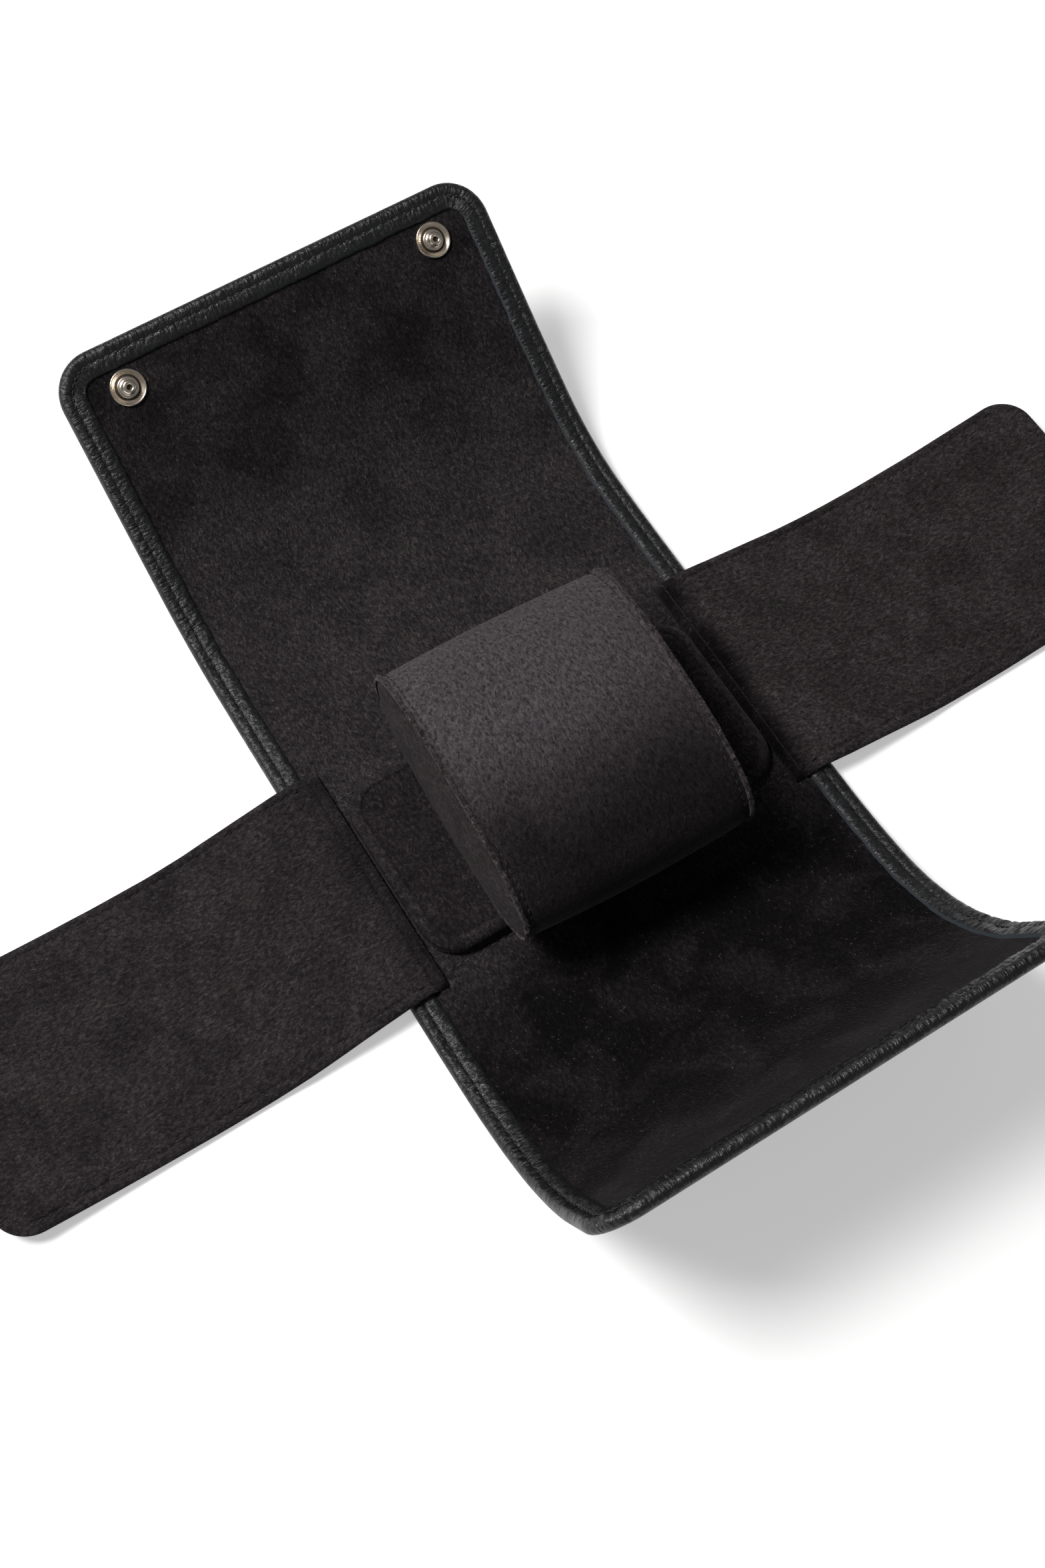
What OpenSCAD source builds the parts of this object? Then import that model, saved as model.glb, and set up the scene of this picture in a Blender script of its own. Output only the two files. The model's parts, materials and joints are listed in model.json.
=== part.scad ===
// Single-watch roll in leather and microsuede, lying open on a table.
// Origin: the middle of the base's underside. +Y runs to the far flap, +X to the right side flap.
// The strip folds up round the pillow: near flap first, far flap over it, held by two press studs.

/* [Strip] */
// Width of the leather strip
strip_w = 120; // [116:1:130]
// Length of the flat base between its two fold lines
base_len = 73; // [73:1:80]
// Corner radius of the strip's two ends
corner_r = 11; // [9:0.5:16]
// Thickness of the outer leather
leather_t = 1.1; // [0.8:0.1:1.4]
// Thickness of the stiffening board between leather and lining
board_t = 0.8; // [0.6:0.1:1.2]
// Thickness of the microsuede lining
lining_t = 0.7; // [0.5:0.1:1]
// Thickness of the turned-over leather edge, where it lies on the lining
edge_t = 0.9; // [0.6:0.1:1.2]
// Width of the turned-over leather edge
edge_w = 6.4; // [5:0.2:7.2]

/* [Far flap] */
// Length from the base's far fold line to the tip
far_len = 117; // [112:1:122]
// Length of its wall, from the base to the shoulder
far_wall = 53.4; // [53:0.1:56]
// Fold angles when closed: base to wall, wall to shoulder, shoulder to top
far_turns = [76, 27, 39];
// How the flap lies open: share of its wall and shoulder together, and its slope there in degrees
far_curve = [[0, 0], [0.354, 3], [0.792, 34], [1.23, 38], [2, 38]];

/* [Near flap] */
// Length from the base's near fold line to the tip
near_len = 104; // [100:1:108]
// Length of its wall, from the base to the shoulder
near_wall = 46; // [44:0.5:46]
// Fold angles when closed: base to wall, wall to shoulder, shoulder to top
near_turns = [67, 23, 22];
// How the flap lies open: share of its wall and shoulder together, and its slope there in degrees
near_curve = [[0, 0], [0.386, 11], [0.872, 48], [1.258, 68], [2, 68]];
// Length of the shoulder between wall and top, on both flaps
shoulder_len = 16; // [14:0.5:18]

/* [Side flaps] */
// Width of a side flap, along the roll's base
side_w = 64; // [56:1:64]
// Length of a side flap, from its root seam
side_len = 111; // [100:1:112]
// Corner radius of a side flap
side_r = 9; // [6:0.5:14]
// Thickness of each of its two layers of microsuede
suede_t = 0.9; // [0.6:0.1:1]
// Distance of the root seams from the strip's edges
side_root_in = 7.5; // [7:0.5:8]
// Length of the left flap's wall, from its root to the fold
left_wall = 39.3; // [38.6:0.1:39.6]
// Length of the right flap's wall, which folds over the left flap
right_wall = 43.4; // [43.2:0.1:44.4]
// Fold angles when closed: root, and wall to top
side_turns = [114, 62];
// How a side flap lies open: share of its length, and its slope there in degrees
side_curve = [[0, 0], [0.08, 0], [0.126, -6.5], [0.36, -6.5], [0.45, 0], [0.63, 2], [1, 8]];

/* [Pad] */
// Space between the padded board under the pillow and the root seams at its two ends
pad_in = 3.5; // [3:0.5:8]
// Length of the padded board, along the strip
pad_len = 51; // [46:1:54]
// Height of the padded board
pad_h = 4.8; // [4:0.2:5]
// Corner radius of the padded board
pad_r = 10; // [6:0.5:14]
// How far the pad and the pillow sit towards the near flap
pad_shift = 2.6; // [0:0.2:3]
// Thickness of the board inside the pad
pad_board_t = 1.4; // [1:0.1:2]

/* [Pillow] */
// Width of the pillow between its two side seams
pillow_w = 59; // [52:1:64]
// Length of the pillow, along the strip
pillow_len = 73.8; // [66:0.2:74]
// Height of the pillow
pillow_h = 34.6; // [30:0.2:35]
// How round its side profile is: 2 is an ellipse, more is squarer
pillow_round = 2.35; // [2:0.05:2.8]
// Height of the crown across its width
pillow_crown = 1.3; // [0.6:0.1:2]
// How far each side panel bulges
side_bulge = 2.6; // [1.6:0.2:4]
// How far the seams at its two sides stand up
seam_rise = 0.8; // [0.4:0.1:1.2]
// Thickness of the pillow's suede
pillow_skin = 1; // [0.8:0.1:1.2]

/* [Press studs] */
// Flange diameter of a stud
stud_d = 9.2; // [8:0.2:10]
// Distance of the studs from the strip's edges
stud_side_in = 16.7; // [14:0.1:24]
// Distance of the studs from the far flap's tip
stud_in = 12; // [11:0.5:13]
// Outer diameter of a socket
socket_d = 9.8; // [9:0.2:11]

/* [Hidden] */

leather_colour = [0.07, 0.07, 0.08];
suede_colour = [0.2, 0.18, 0.19];
board_colour = [0.62, 0.55, 0.45];
foam_colour = [0.85, 0.82, 0.7];
thread_colour = [0.03, 0.03, 0.03];
metal_colour = [0.78, 0.77, 0.74];

// Gap left at each side of a fold line, and the clearance between a layer and its neighbour
fold_gap = 0.15;
ease = 0.3;
root_ease = 0.45;
// Distance between the stations of a curved sheet, and the margin kept next to a fold line
station_step = 5;
station_margin = 4;
corner_margin = 1;
corner_steps = 6;
// Size of the chamfer on a rolled leather edge
roll = 0.6;
// Thread: its width and height, and how far in from an edge it runs
thread_w = 0.5;
thread_h = 0.25;
leather_thread_in = 3.2;
suede_thread_in = 4.5;
// Inset of the board and of the lining from the strip's outer edge
board_in = 1.8;
lining_in = 1.4;
edge_wall = 1.2;
// Depths of the layers, measured from the leather's outer face
board_top = leather_t + board_t;
lining_top = board_top + lining_t;
edge_top = lining_top + edge_t;
// Root axis of the side flaps: its place across the strip, and its height above the table
side_root = strip_w / 2 - side_root_in;
side_axis_z = edge_top + thread_h + suede_t + root_ease;
// Rivet of a snap: shank radius, back radius and back thickness
shank_r = 1.5;
back_r = 4;
back_t = 0.6;

pad_w = 2 * (side_root - pad_in);
stud_x = strip_w / 2 - stud_side_in;

// Slopes of a sheet by distance along it
function bends(curve, length) = [for (q = curve) [q[0] * length, q[1]]];
far_bends = bends(far_curve, far_wall + shoulder_len);
near_bends = bends(near_curve, near_wall + shoulder_len);
side_bends = bends(side_curve, side_len);

// A sheet is [half width, corner radius, length, bends, fold places, fold angles, depth of the folds]
far_sheet = [strip_w / 2, corner_r, far_len, far_bends,
    [0, far_wall, far_wall + shoulder_len], far_turns, leather_t];
near_sheet = [strip_w / 2, corner_r, near_len, near_bends,
    [0, near_wall, near_wall + shoulder_len], near_turns, leather_t];
left_sheet = [side_w / 2, side_r, side_len, side_bends, [0, left_wall], side_turns, suede_t];
right_sheet = [side_w / 2, side_r, side_len, side_bends, [0, right_wall], side_turns, suede_t];

// Step along an arc of a given length whose slope goes from a0 to a1: the arc's chord
function arc_step(a0, a1, length) =
    let (h = (a1 - a0) / 2, k = abs(h) < 0.01 ? 1 : sin(h) / (h * PI / 180))
    length * k * [cos((a0 + a1) / 2), sin((a0 + a1) / 2)];

// Point of a bent sheet's fold layer at a distance along it: the sum of its arcs
function sheet_point(bends, s) =
    let (steps = [for (i = [0:len(bends) - 2]) if (bends[i][0] < s)
        let (e = i == len(bends) - 2 ? s : min(s, bends[i + 1][0]))
        arc_step(bends[i][1], lookup(e, bends), e - bends[i][0])])
    len(steps) == 0 ? [0, 0] : [for (step = steps) 1] * steps;

// Place of a point [across, along, depth] of a sheet, in the sheet's own frame
function place(t, p) =
    let (a = lookup(p[1], t[3]), q = sheet_point(t[3], p[1]), e = p[2] - t[6])
    [p[0], q[0] - e * sin(a), q[1] + e * cos(a)];

// Room that a layer leaves at fold k, so that the inner sides meet when it is closed
function bevel(t, k, depth) = fold_gap + max(0, depth - t[6]) * tan(t[5][k] / 2);

// Stations of panel k along the right edge, set in by inset, at a depth: [across, along, depth]
function rim(t, k, inset, depth) =
    let (s0 = t[4][k], tip = k == len(t[4]) - 1, s1 = tip ? t[2] : t[4][k + 1], r = t[1],
         first = s0 + station_margin, last = s1 - (tip ? r + corner_margin : station_margin),
         n = max(1, round((last - first) / station_step)))
    concat([[t[0] - inset, s0 + bevel(t, k, depth), depth]],
        [for (i = [0:n]) [t[0] - inset, first + (last - first) * i / n, depth]],
        tip ? [for (i = [0:corner_steps])
                let (f = 90 * i / corner_steps)
                [t[0] - r + (r - inset) * cos(f), t[2] - r + (r - inset) * sin(f), depth]]
            : [[t[0] - inset, s1 - bevel(t, k + 1, depth), depth]]);

function other_side(p) = [-p[0], p[1], p[2]];
function reversed(v) = [for (i = [len(v) - 1:-1:0]) v[i]];

// Triangles of the wall between ring a and ring b, each of n points, the first at index a or b
function wall_faces(a, b, n) =
    [for (i = [0:n - 1]) let (j = (i + 1) % n) each [[a + i, b + i, a + j], [a + j, b + i, b + j]]];

// Solid through a row of rings, closed at both ends by a flat face
module loft(rings) {
    n = len(rings[0]);
    m = len(rings);
    polyhedron(
        points = [for (ring = rings) each ring],
        faces = concat([[for (i = [0:n - 1]) i]], [[for (i = [n - 1:-1:0]) (m - 1) * n + i]],
            [for (k = [0:m - 2]) each wall_faces(k * n, (k + 1) * n, n)]));
}

// Layer of panel k that spans the sheet: section is [inset, depth] from its top to its bottom
module layer(t, k, section) {
    rims = [for (q = section) rim(t, k, q[0], q[1])];
    n = len(section);
    m = len(rims[0]);
    rings = [for (j = [0:m - 1])
        let (right = [for (i = [0:n - 1]) rims[i][j]])
        [for (p = concat(right, reversed([for (p = right) other_side(p)]))) place(t, p)]];
    ladder = [for (i = [0:n - 2]) [i, i + 1, 2 * n - 2 - i, 2 * n - 1 - i]];
    last = (m - 1) * 2 * n;
    polyhedron(
        points = [for (ring = rings) each ring],
        faces = concat(ladder, [for (f = ladder) [for (v = reversed(f)) last + v]],
            [for (j = [0:m - 2]) each wall_faces(j * 2 * n, (j + 1) * 2 * n, 2 * n)]));
}

// Strip of panel k that follows its edges: section is a closed outline of [inset, depth]
module edging(t, k, section) {
    rims = [for (q = section) rim(t, k, q[0], q[1])];
    m = len(rims[0]);
    right = [for (j = [0:m - 1]) [for (r = rims) place(t, r[j])]];
    if (k == len(t[4]) - 1) {
        left = [for (j = [m - 1:-1:0]) [for (r = rims) place(t, other_side(r[j]))]];
        loft(concat(right, left));
    } else {
        loft(right);
        mirror([1, 0, 0]) loft(right);
    }
}

module plate(t, k, inset, low, high) {
    layer(t, k, [[inset, high], [inset, low]]);
}

module outer_leather(t, k) {
    color(leather_colour) layer(t, k, [[0, leather_t], [0, roll], [roll, 0]]);
}

module stiff_board(t, k) {
    color(board_colour) plate(t, k, board_in, leather_t, board_top);
}

// Without a board under it, a shoulder's lining is thicker by the board: it is padded there
module lining(t, k, low) {
    color(suede_colour) plate(t, k, lining_in, low, lining_top);
}

function edge_section() = [[roll, edge_top], [0, edge_top - roll], [0, leather_t],
    [edge_wall, leather_t], [edge_wall, lining_top], [edge_w, lining_top], [edge_w, edge_top]];

module turned_edge(t, k) {
    color(leather_colour) edging(t, k, edge_section());
}

function thread_section(inset, top) = [[inset - thread_w / 2, top + thread_h],
    [inset - thread_w / 2, top], [inset + thread_w / 2, top], [inset + thread_w / 2, top + thread_h]];

module leather_thread(t, k) {
    color(thread_colour) edging(t, k, thread_section(leather_thread_in, edge_top));
}

// A side flap's layers meet at the depth of its folds
module upper_suede(t, k) {
    color(suede_colour) plate(t, k, 0, suede_t, 2 * suede_t);
}

module lower_suede(t, k) {
    color(suede_colour) plate(t, k, 0, 0, suede_t);
}

module suede_thread(t, k) {
    color(thread_colour) edging(t, k, thread_section(suede_thread_in, 2 * suede_t));
}

module at_far() {
    translate([0, base_len / 2, leather_t]) children();
}

module at_near() {
    mirror([0, 1, 0]) at_far() children();
}

module at_right() {
    translate([side_root, 0, side_axis_z]) rotate([0, 0, -90]) children();
}

module at_left() {
    translate([-side_root, 0, side_axis_z]) rotate([0, 0, 90]) children();
}

// Base: the same layers, flat, with ends that meet the flaps' bevelled ends
module base_slab(low, high, inset) {
    half = strip_w / 2 - inset;
    rotate([90, 0, 90]) linear_extrude(2 * half, center = true) polygon([
        [-base_len / 2 + bevel(near_sheet, 0, low), low],
        [base_len / 2 - bevel(far_sheet, 0, low), low],
        [base_len / 2 - bevel(far_sheet, 0, high), high],
        [-base_len / 2 + bevel(near_sheet, 0, high), high]]);
}

module base_leather() {
    half = strip_w / 2;
    color(leather_colour) rotate([90, 0, 0])
        linear_extrude(base_len - 2 * fold_gap, center = true) polygon([
            [-half + roll, 0], [half - roll, 0], [half, roll], [half, leather_t],
            [-half, leather_t], [-half, roll]]);
}

module base_board() {
    color(board_colour) base_slab(leather_t, board_top, board_in);
}

module base_lining() {
    color(suede_colour) base_slab(board_top, lining_top, lining_in);
}

module base_edging(section, low, high) {
    intersection() {
        base_slab(low, high, 0);
        for (side = [-1, 1]) rotate([90, 0, 0]) linear_extrude(base_len, center = true)
            polygon([for (q = section) [side * (strip_w / 2 - q[0]), q[1]]]);
    }
}

module base_turned_edges() {
    color(leather_colour) base_edging(edge_section(), leather_t, edge_top);
}

module base_thread() {
    color(thread_colour)
        base_edging(thread_section(leather_thread_in, edge_top), edge_top, edge_top + thread_h);
}

// Sewn-down allowance of a side flap, flat on the lining beside the root axis
module root_tape() {
    inner = pad_w / 2 + ease;
    outer = min(side_root - 2 * ease, strip_w / 2 - edge_w - ease);
    color(suede_colour) translate([inner, -side_w / 2, lining_top])
        cube([outer - inner, side_w, 2 * suede_t]);
}

module left_root_tape() { mirror([1, 0, 0]) root_tape(); }
module right_root_tape() { root_tape(); }

module rounded_plate(w, l, r, h) {
    linear_extrude(h) {
        square([w - 2 * r, l], center = true);
        square([w, l - 2 * r], center = true);
        for (x = [-1, 1], y = [-1, 1]) translate([x * (w / 2 - r), y * (l / 2 - r)]) circle(r, $fn = 48);
    }
}

// Padded board: suede drawn over foam and glued round a board
module pad_cover() {
    soft = 2;
    color(suede_colour) translate([0, -pad_shift, lining_top]) difference() {
        hull() for (x = [-1, 1], y = [-1, 1])
            translate([x * (pad_w / 2 - pad_r), y * (pad_len / 2 - pad_r), 0])
                rotate_extrude($fn = 32) polygon(concat([[0, 0], [pad_r, 0]],
                    [for (i = [0:4]) let (f = 22.5 * i)
                        [pad_r - soft + soft * cos(f), pad_h - soft + soft * sin(f)]], [[0, pad_h]]));
        translate([0, 0, -1])
            rounded_plate(pad_w - 2 * pillow_skin, pad_len - 2 * pillow_skin, pad_r - pillow_skin,
                pad_h - pillow_skin + 1);
    }
}

module pad_board() {
    color(board_colour) translate([0, -pad_shift, lining_top])
        rounded_plate(pad_w - 2 * pillow_skin, pad_len - 2 * pillow_skin, pad_r - pillow_skin, pad_board_t);
}

module pad_foam() {
    color(foam_colour) translate([0, -pad_shift, lining_top + pad_board_t])
        rounded_plate(pad_w - 2 * pillow_skin, pad_len - 2 * pillow_skin, pad_r - pillow_skin,
            pad_h - pillow_skin - pad_board_t);
}

// Pillow: a superellipse in side view, crowned across, flat where it rests
pillow_foot = 0.6;
pillow_z = lining_top + pad_h + ease + pillow_h / 2;
pillow_points = 32;

function signed_power(v, e) = sign(v) * pow(abs(v), e);

// Ring of the profile at x, drawn in by a distance all round; the foot is cut flat
function pillow_ring(x, drawn_in) =
    let (a = pillow_len / 2 - drawn_in, b = (pillow_h + pillow_foot) / 2 - drawn_in)
    [for (i = [0:pillow_points - 1])
        let (f = 360 * i / pillow_points,
             y = a * signed_power(cos(f), 2 / pillow_round), z = b * signed_power(sin(f), 2 / pillow_round))
        [x, y - pad_shift, pillow_z - pillow_foot / 2 + max(z, pillow_foot - b)]];

// How far the crowned surface is drawn in at a distance from the middle
function crown_drop(x) = pillow_crown * pow(2 * x / pillow_w, 2);

// The sewing runs beside each seam, and from there the band's edge stands up
seam_allowance = 1.5;
sewn_out = pillow_w / 2 - seam_allowance;
sewn_in = sewn_out - thread_w;
edge_drop = crown_drop(sewn_out) - seam_rise;
half_stations = [[0, 0], for (share = [0.4, 0.75]) [share * pillow_w / 2, crown_drop(share * pillow_w / 2)],
    [sewn_in, crown_drop(sewn_in)], [sewn_out, crown_drop(sewn_out)], [pillow_w / 2, edge_drop]];
band_stations = concat([for (i = [len(half_stations) - 1:-1:1]) [-half_stations[i][0], half_stations[i][1]]],
    half_stations);

// Solid through rings that close on themselves, like a tyre
module closed_loft(rings) {
    n = len(rings[0]);
    m = len(rings);
    polyhedron(
        points = [for (ring = rings) each ring],
        faces = [for (k = [0:m - 1]) each wall_faces(k * n, ((k + 1) % m) * n, n)]);
}

module pillow_band() {
    outer = [for (q = band_stations) pillow_ring(q[0], q[1])];
    inner = [for (q = reversed(band_stations)) pillow_ring(q[0], q[1] + pillow_skin)];
    color(suede_colour) closed_loft(concat(outer, inner));
}

module pillow_core() {
    play = 0.05;
    filled = [for (i = [1:len(band_stations) - 2]) band_stations[i]];
    half = pillow_w / 2 - play;
    color(foam_colour) loft(concat(
        [pillow_ring(-half, crown_drop(half) + pillow_skin + play)],
        [for (q = filled) pillow_ring(q[0], q[1] + pillow_skin + play)],
        [pillow_ring(half, crown_drop(half) + pillow_skin + play)]));
}

// Side panel: its edge stands up with the band's in the seam, and inside that it bulges
module side_panel() {
    x0 = pillow_w / 2;
    welt_t = 0.9;
    root = edge_drop + seam_rise + 0.3;
    dome_w = 14;
    color(suede_colour) loft(concat(
        [pillow_ring(x0, edge_drop), pillow_ring(x0 + welt_t, edge_drop), pillow_ring(x0 + welt_t, root)],
        [for (i = [1:4]) let (f = 22.5 * i)
            pillow_ring(x0 + welt_t + (side_bulge - welt_t) * sin(f), root + dome_w * (1 - cos(f)))]));
}

// Sewing beside a seam: a flat ridge between two distances from the middle, xa being the lower
module seam_ridge(xa, xb) {
    low = [pillow_ring(xa, crown_drop(xa)), pillow_ring(xb, crown_drop(xb))];
    high = [pillow_ring(xa, crown_drop(xa) - thread_h), pillow_ring(xb, crown_drop(xb) - thread_h)];
    closed_loft([for (i = [0:pillow_points - 1]) [low[0][i], low[1][i], high[1][i], high[0][i]]]);
}

module pillow_seam_thread() {
    color(thread_colour) {
        seam_ridge(sewn_in, sewn_out);
        seam_ridge(-sewn_out, -sewn_in);
    }
}

module pillow_right_side() { side_panel(); }
module pillow_left_side() { mirror([1, 0, 0]) side_panel(); }

// Where a point of a flap goes when folds m, m-1 ... 0 are closed: a turn about each in turn
function turned(p, c, a) = c + [[cos(a), -sin(a)], [sin(a), cos(a)]] * (p - c);
function closed_point(t, p, m) =
    m < 0 ? p : closed_point(t, turned(p, sheet_point(t[3], t[4][m]), t[5][m]), m - 1);
far_stud_s = far_len - stud_in;
far_stud_closed = closed_point(far_sheet, sheet_point(far_bends, far_stud_s), 2);
near_tip_closed = closed_point(near_sheet, sheet_point(near_bends, near_len), 2);
// The near flap's top lies level when closed, so the sockets' place on it follows from the studs'
near_socket_s = near_len + near_tip_closed[0] + base_len + far_stud_closed[0];
// Closed, the space between the near flap's leather and the far flap's lining, which the snaps fill
snap_gap = far_stud_closed[1] - near_tip_closed[1] - lining_top;
snap_ease = 0.25;
socket_floor = 0.4;
boss_h = 0.9;
stud_h = snap_gap - socket_floor - snap_ease;
socket_h = snap_gap - boss_h - snap_ease;
boss_r = 2.5;
knob_r = 1.9;
ring_r = 3.4;

// Carries its child to both snaps of a sheet, at distance s and a depth, looking inwards
module at_snaps(t, s, depth) {
    for (side = [-1, 1]) translate(place(t, [side * stud_x, s, depth]))
        rotate([lookup(s, t[3]), 0, 0]) children();
}

module shank_holes(t, s, low, high) {
    at_snaps(t, s, low - 0.1) cylinder(r = shank_r, h = high - low + 0.2, $fn = 32);
}

// The board is punched with an eight-sided hole, clear of the snap's round back
module back_holes(t, s) {
    at_snaps(t, s, leather_t - 0.1)
        cylinder(r = (back_r + 0.1) / cos(22.5), h = board_t + 0.2, $fn = 8);
}

// Stud: flange with a rolled rim, a stepped dome and a ball head, over its shank in the lining
module far_studs() {
    r = stud_d / 2;
    rim_h = 0.7;
    plate_h = 0.5;
    lip = 0.1;
    color(metal_colour) at_far() at_snaps(far_sheet, far_stud_s, lining_top) {
        rotate_extrude($fn = 48) polygon([
            [0, 0], [r - 4 * lip, 0], [r, 3 * lip], [r - 2 * lip, rim_h], [r - 7 * lip, rim_h],
            [r - 2 * plate_h, plate_h], [boss_r + plate_h, plate_h], [boss_r, boss_h],
            [knob_r + lip, boss_h + 2 * lip], [knob_r - 2 * lip, stud_h - 12 * lip],
            [knob_r, stud_h - 8 * lip], [knob_r, stud_h - 4 * lip], [knob_r - 4 * lip, stud_h - lip],
            [knob_r / 2, stud_h], [0, stud_h]]);
        translate([0, 0, -lining_t]) cylinder(r = shank_r, h = lining_t, $fn = 32);
    }
}

module far_stud_backs() {
    color(metal_colour) at_far() at_snaps(far_sheet, far_stud_s, board_top - back_t)
        cylinder(r = back_r, h = back_t, $fn = 48);
}

// Socket on the near flap's outer face: a rolled ring round a spring bore, over its shank
module near_sockets() {
    r = socket_d / 2;
    bore_r = knob_r + ease;
    rim_h = 0.8;
    brim_h = 1.4;
    lip = 0.3;
    color(metal_colour) at_near() at_snaps(near_sheet, near_socket_s, 0) {
        rotate([180, 0, 0]) rotate_extrude($fn = 48) polygon([
            [0, 0], [r - lip, 0], [r, lip], [r, rim_h], [r - rim_h, brim_h - lip], [ring_r + lip, brim_h],
            [ring_r, socket_h - lip], [ring_r - lip, socket_h], [bore_r + lip, socket_h],
            [bore_r, socket_h - lip], [bore_r, socket_floor], [0, socket_floor]]);
        cylinder(r = shank_r, h = board_top - back_t, $fn = 32);
    }
}

module near_socket_backs() {
    color(metal_colour) at_near() at_snaps(near_sheet, near_socket_s, board_top - back_t)
        cylinder(r = back_r, h = back_t, $fn = 48);
}

module far_wall_leather() { at_far() outer_leather(far_sheet, 0); }
module far_wall_board() { at_far() stiff_board(far_sheet, 0); }
module far_wall_lining() { at_far() lining(far_sheet, 0, board_top); }
module far_wall_turned_edges() { at_far() turned_edge(far_sheet, 0); }
module far_wall_thread() { at_far() leather_thread(far_sheet, 0); }
module far_shoulder_leather() { at_far() outer_leather(far_sheet, 1); }
module far_shoulder_lining() { at_far() lining(far_sheet, 1, leather_t); }
module far_shoulder_turned_edges() { at_far() turned_edge(far_sheet, 1); }
module far_shoulder_thread() { at_far() leather_thread(far_sheet, 1); }
module far_top_leather() { at_far() outer_leather(far_sheet, 2); }
module far_top_turned_edge() { at_far() turned_edge(far_sheet, 2); }
module far_top_thread() { at_far() leather_thread(far_sheet, 2); }

module far_top_board() {
    at_far() difference() {
        stiff_board(far_sheet, 2);
        color(board_colour) back_holes(far_sheet, far_stud_s);
    }
}

module far_top_lining() {
    at_far() difference() {
        lining(far_sheet, 2, board_top);
        color(suede_colour) shank_holes(far_sheet, far_stud_s, board_top, lining_top);
    }
}

module near_wall_leather() { at_near() outer_leather(near_sheet, 0); }
module near_wall_board() { at_near() stiff_board(near_sheet, 0); }
module near_wall_lining() { at_near() lining(near_sheet, 0, board_top); }
module near_wall_turned_edges() { at_near() turned_edge(near_sheet, 0); }
module near_wall_thread() { at_near() leather_thread(near_sheet, 0); }
module near_shoulder_leather() { at_near() outer_leather(near_sheet, 1); }
module near_shoulder_lining() { at_near() lining(near_sheet, 1, leather_t); }
module near_shoulder_turned_edges() { at_near() turned_edge(near_sheet, 1); }
module near_shoulder_thread() { at_near() leather_thread(near_sheet, 1); }
module near_top_lining() { at_near() lining(near_sheet, 2, board_top); }
module near_top_turned_edge() { at_near() turned_edge(near_sheet, 2); }
module near_top_thread() { at_near() leather_thread(near_sheet, 2); }

module near_top_leather() {
    at_near() difference() {
        outer_leather(near_sheet, 2);
        color(leather_colour) shank_holes(near_sheet, near_socket_s, 0, leather_t);
    }
}

module near_top_board() {
    at_near() difference() {
        stiff_board(near_sheet, 2);
        color(board_colour) back_holes(near_sheet, near_socket_s);
    }
}

module left_wall_upper_suede() { at_left() upper_suede(left_sheet, 0); }
module left_wall_lower_suede() { at_left() lower_suede(left_sheet, 0); }
module left_wall_thread() { at_left() suede_thread(left_sheet, 0); }
module left_top_upper_suede() { at_left() upper_suede(left_sheet, 1); }
module left_top_lower_suede() { at_left() lower_suede(left_sheet, 1); }
module left_top_thread() { at_left() suede_thread(left_sheet, 1); }
module right_wall_upper_suede() { at_right() upper_suede(right_sheet, 0); }
module right_wall_lower_suede() { at_right() lower_suede(right_sheet, 0); }
module right_wall_thread() { at_right() suede_thread(right_sheet, 0); }
module right_top_upper_suede() { at_right() upper_suede(right_sheet, 1); }
module right_top_lower_suede() { at_right() lower_suede(right_sheet, 1); }
module right_top_thread() { at_right() suede_thread(right_sheet, 1); }

base_leather();
base_board();
base_lining();
base_turned_edges();
base_thread();
left_root_tape();
right_root_tape();
pad_board();
pad_foam();
pad_cover();
far_wall_leather();
far_wall_board();
far_wall_lining();
far_wall_turned_edges();
far_wall_thread();
far_shoulder_leather();
far_shoulder_lining();
far_shoulder_turned_edges();
far_shoulder_thread();
far_top_leather();
far_top_board();
far_top_lining();
far_top_turned_edge();
far_top_thread();
far_studs();
far_stud_backs();
near_wall_leather();
near_wall_board();
near_wall_lining();
near_wall_turned_edges();
near_wall_thread();
near_shoulder_leather();
near_shoulder_lining();
near_shoulder_turned_edges();
near_shoulder_thread();
near_top_leather();
near_top_board();
near_top_lining();
near_top_turned_edge();
near_top_thread();
near_sockets();
near_socket_backs();
left_wall_upper_suede();
left_wall_lower_suede();
left_wall_thread();
left_top_upper_suede();
left_top_lower_suede();
left_top_thread();
right_wall_upper_suede();
right_wall_lower_suede();
right_wall_thread();
right_top_upper_suede();
right_top_lower_suede();
right_top_thread();
pillow_core();
pillow_band();
pillow_left_side();
pillow_right_side();
pillow_seam_thread();
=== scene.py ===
import json

import bpy
import numpy as np
from mathutils import Matrix, Vector


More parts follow.
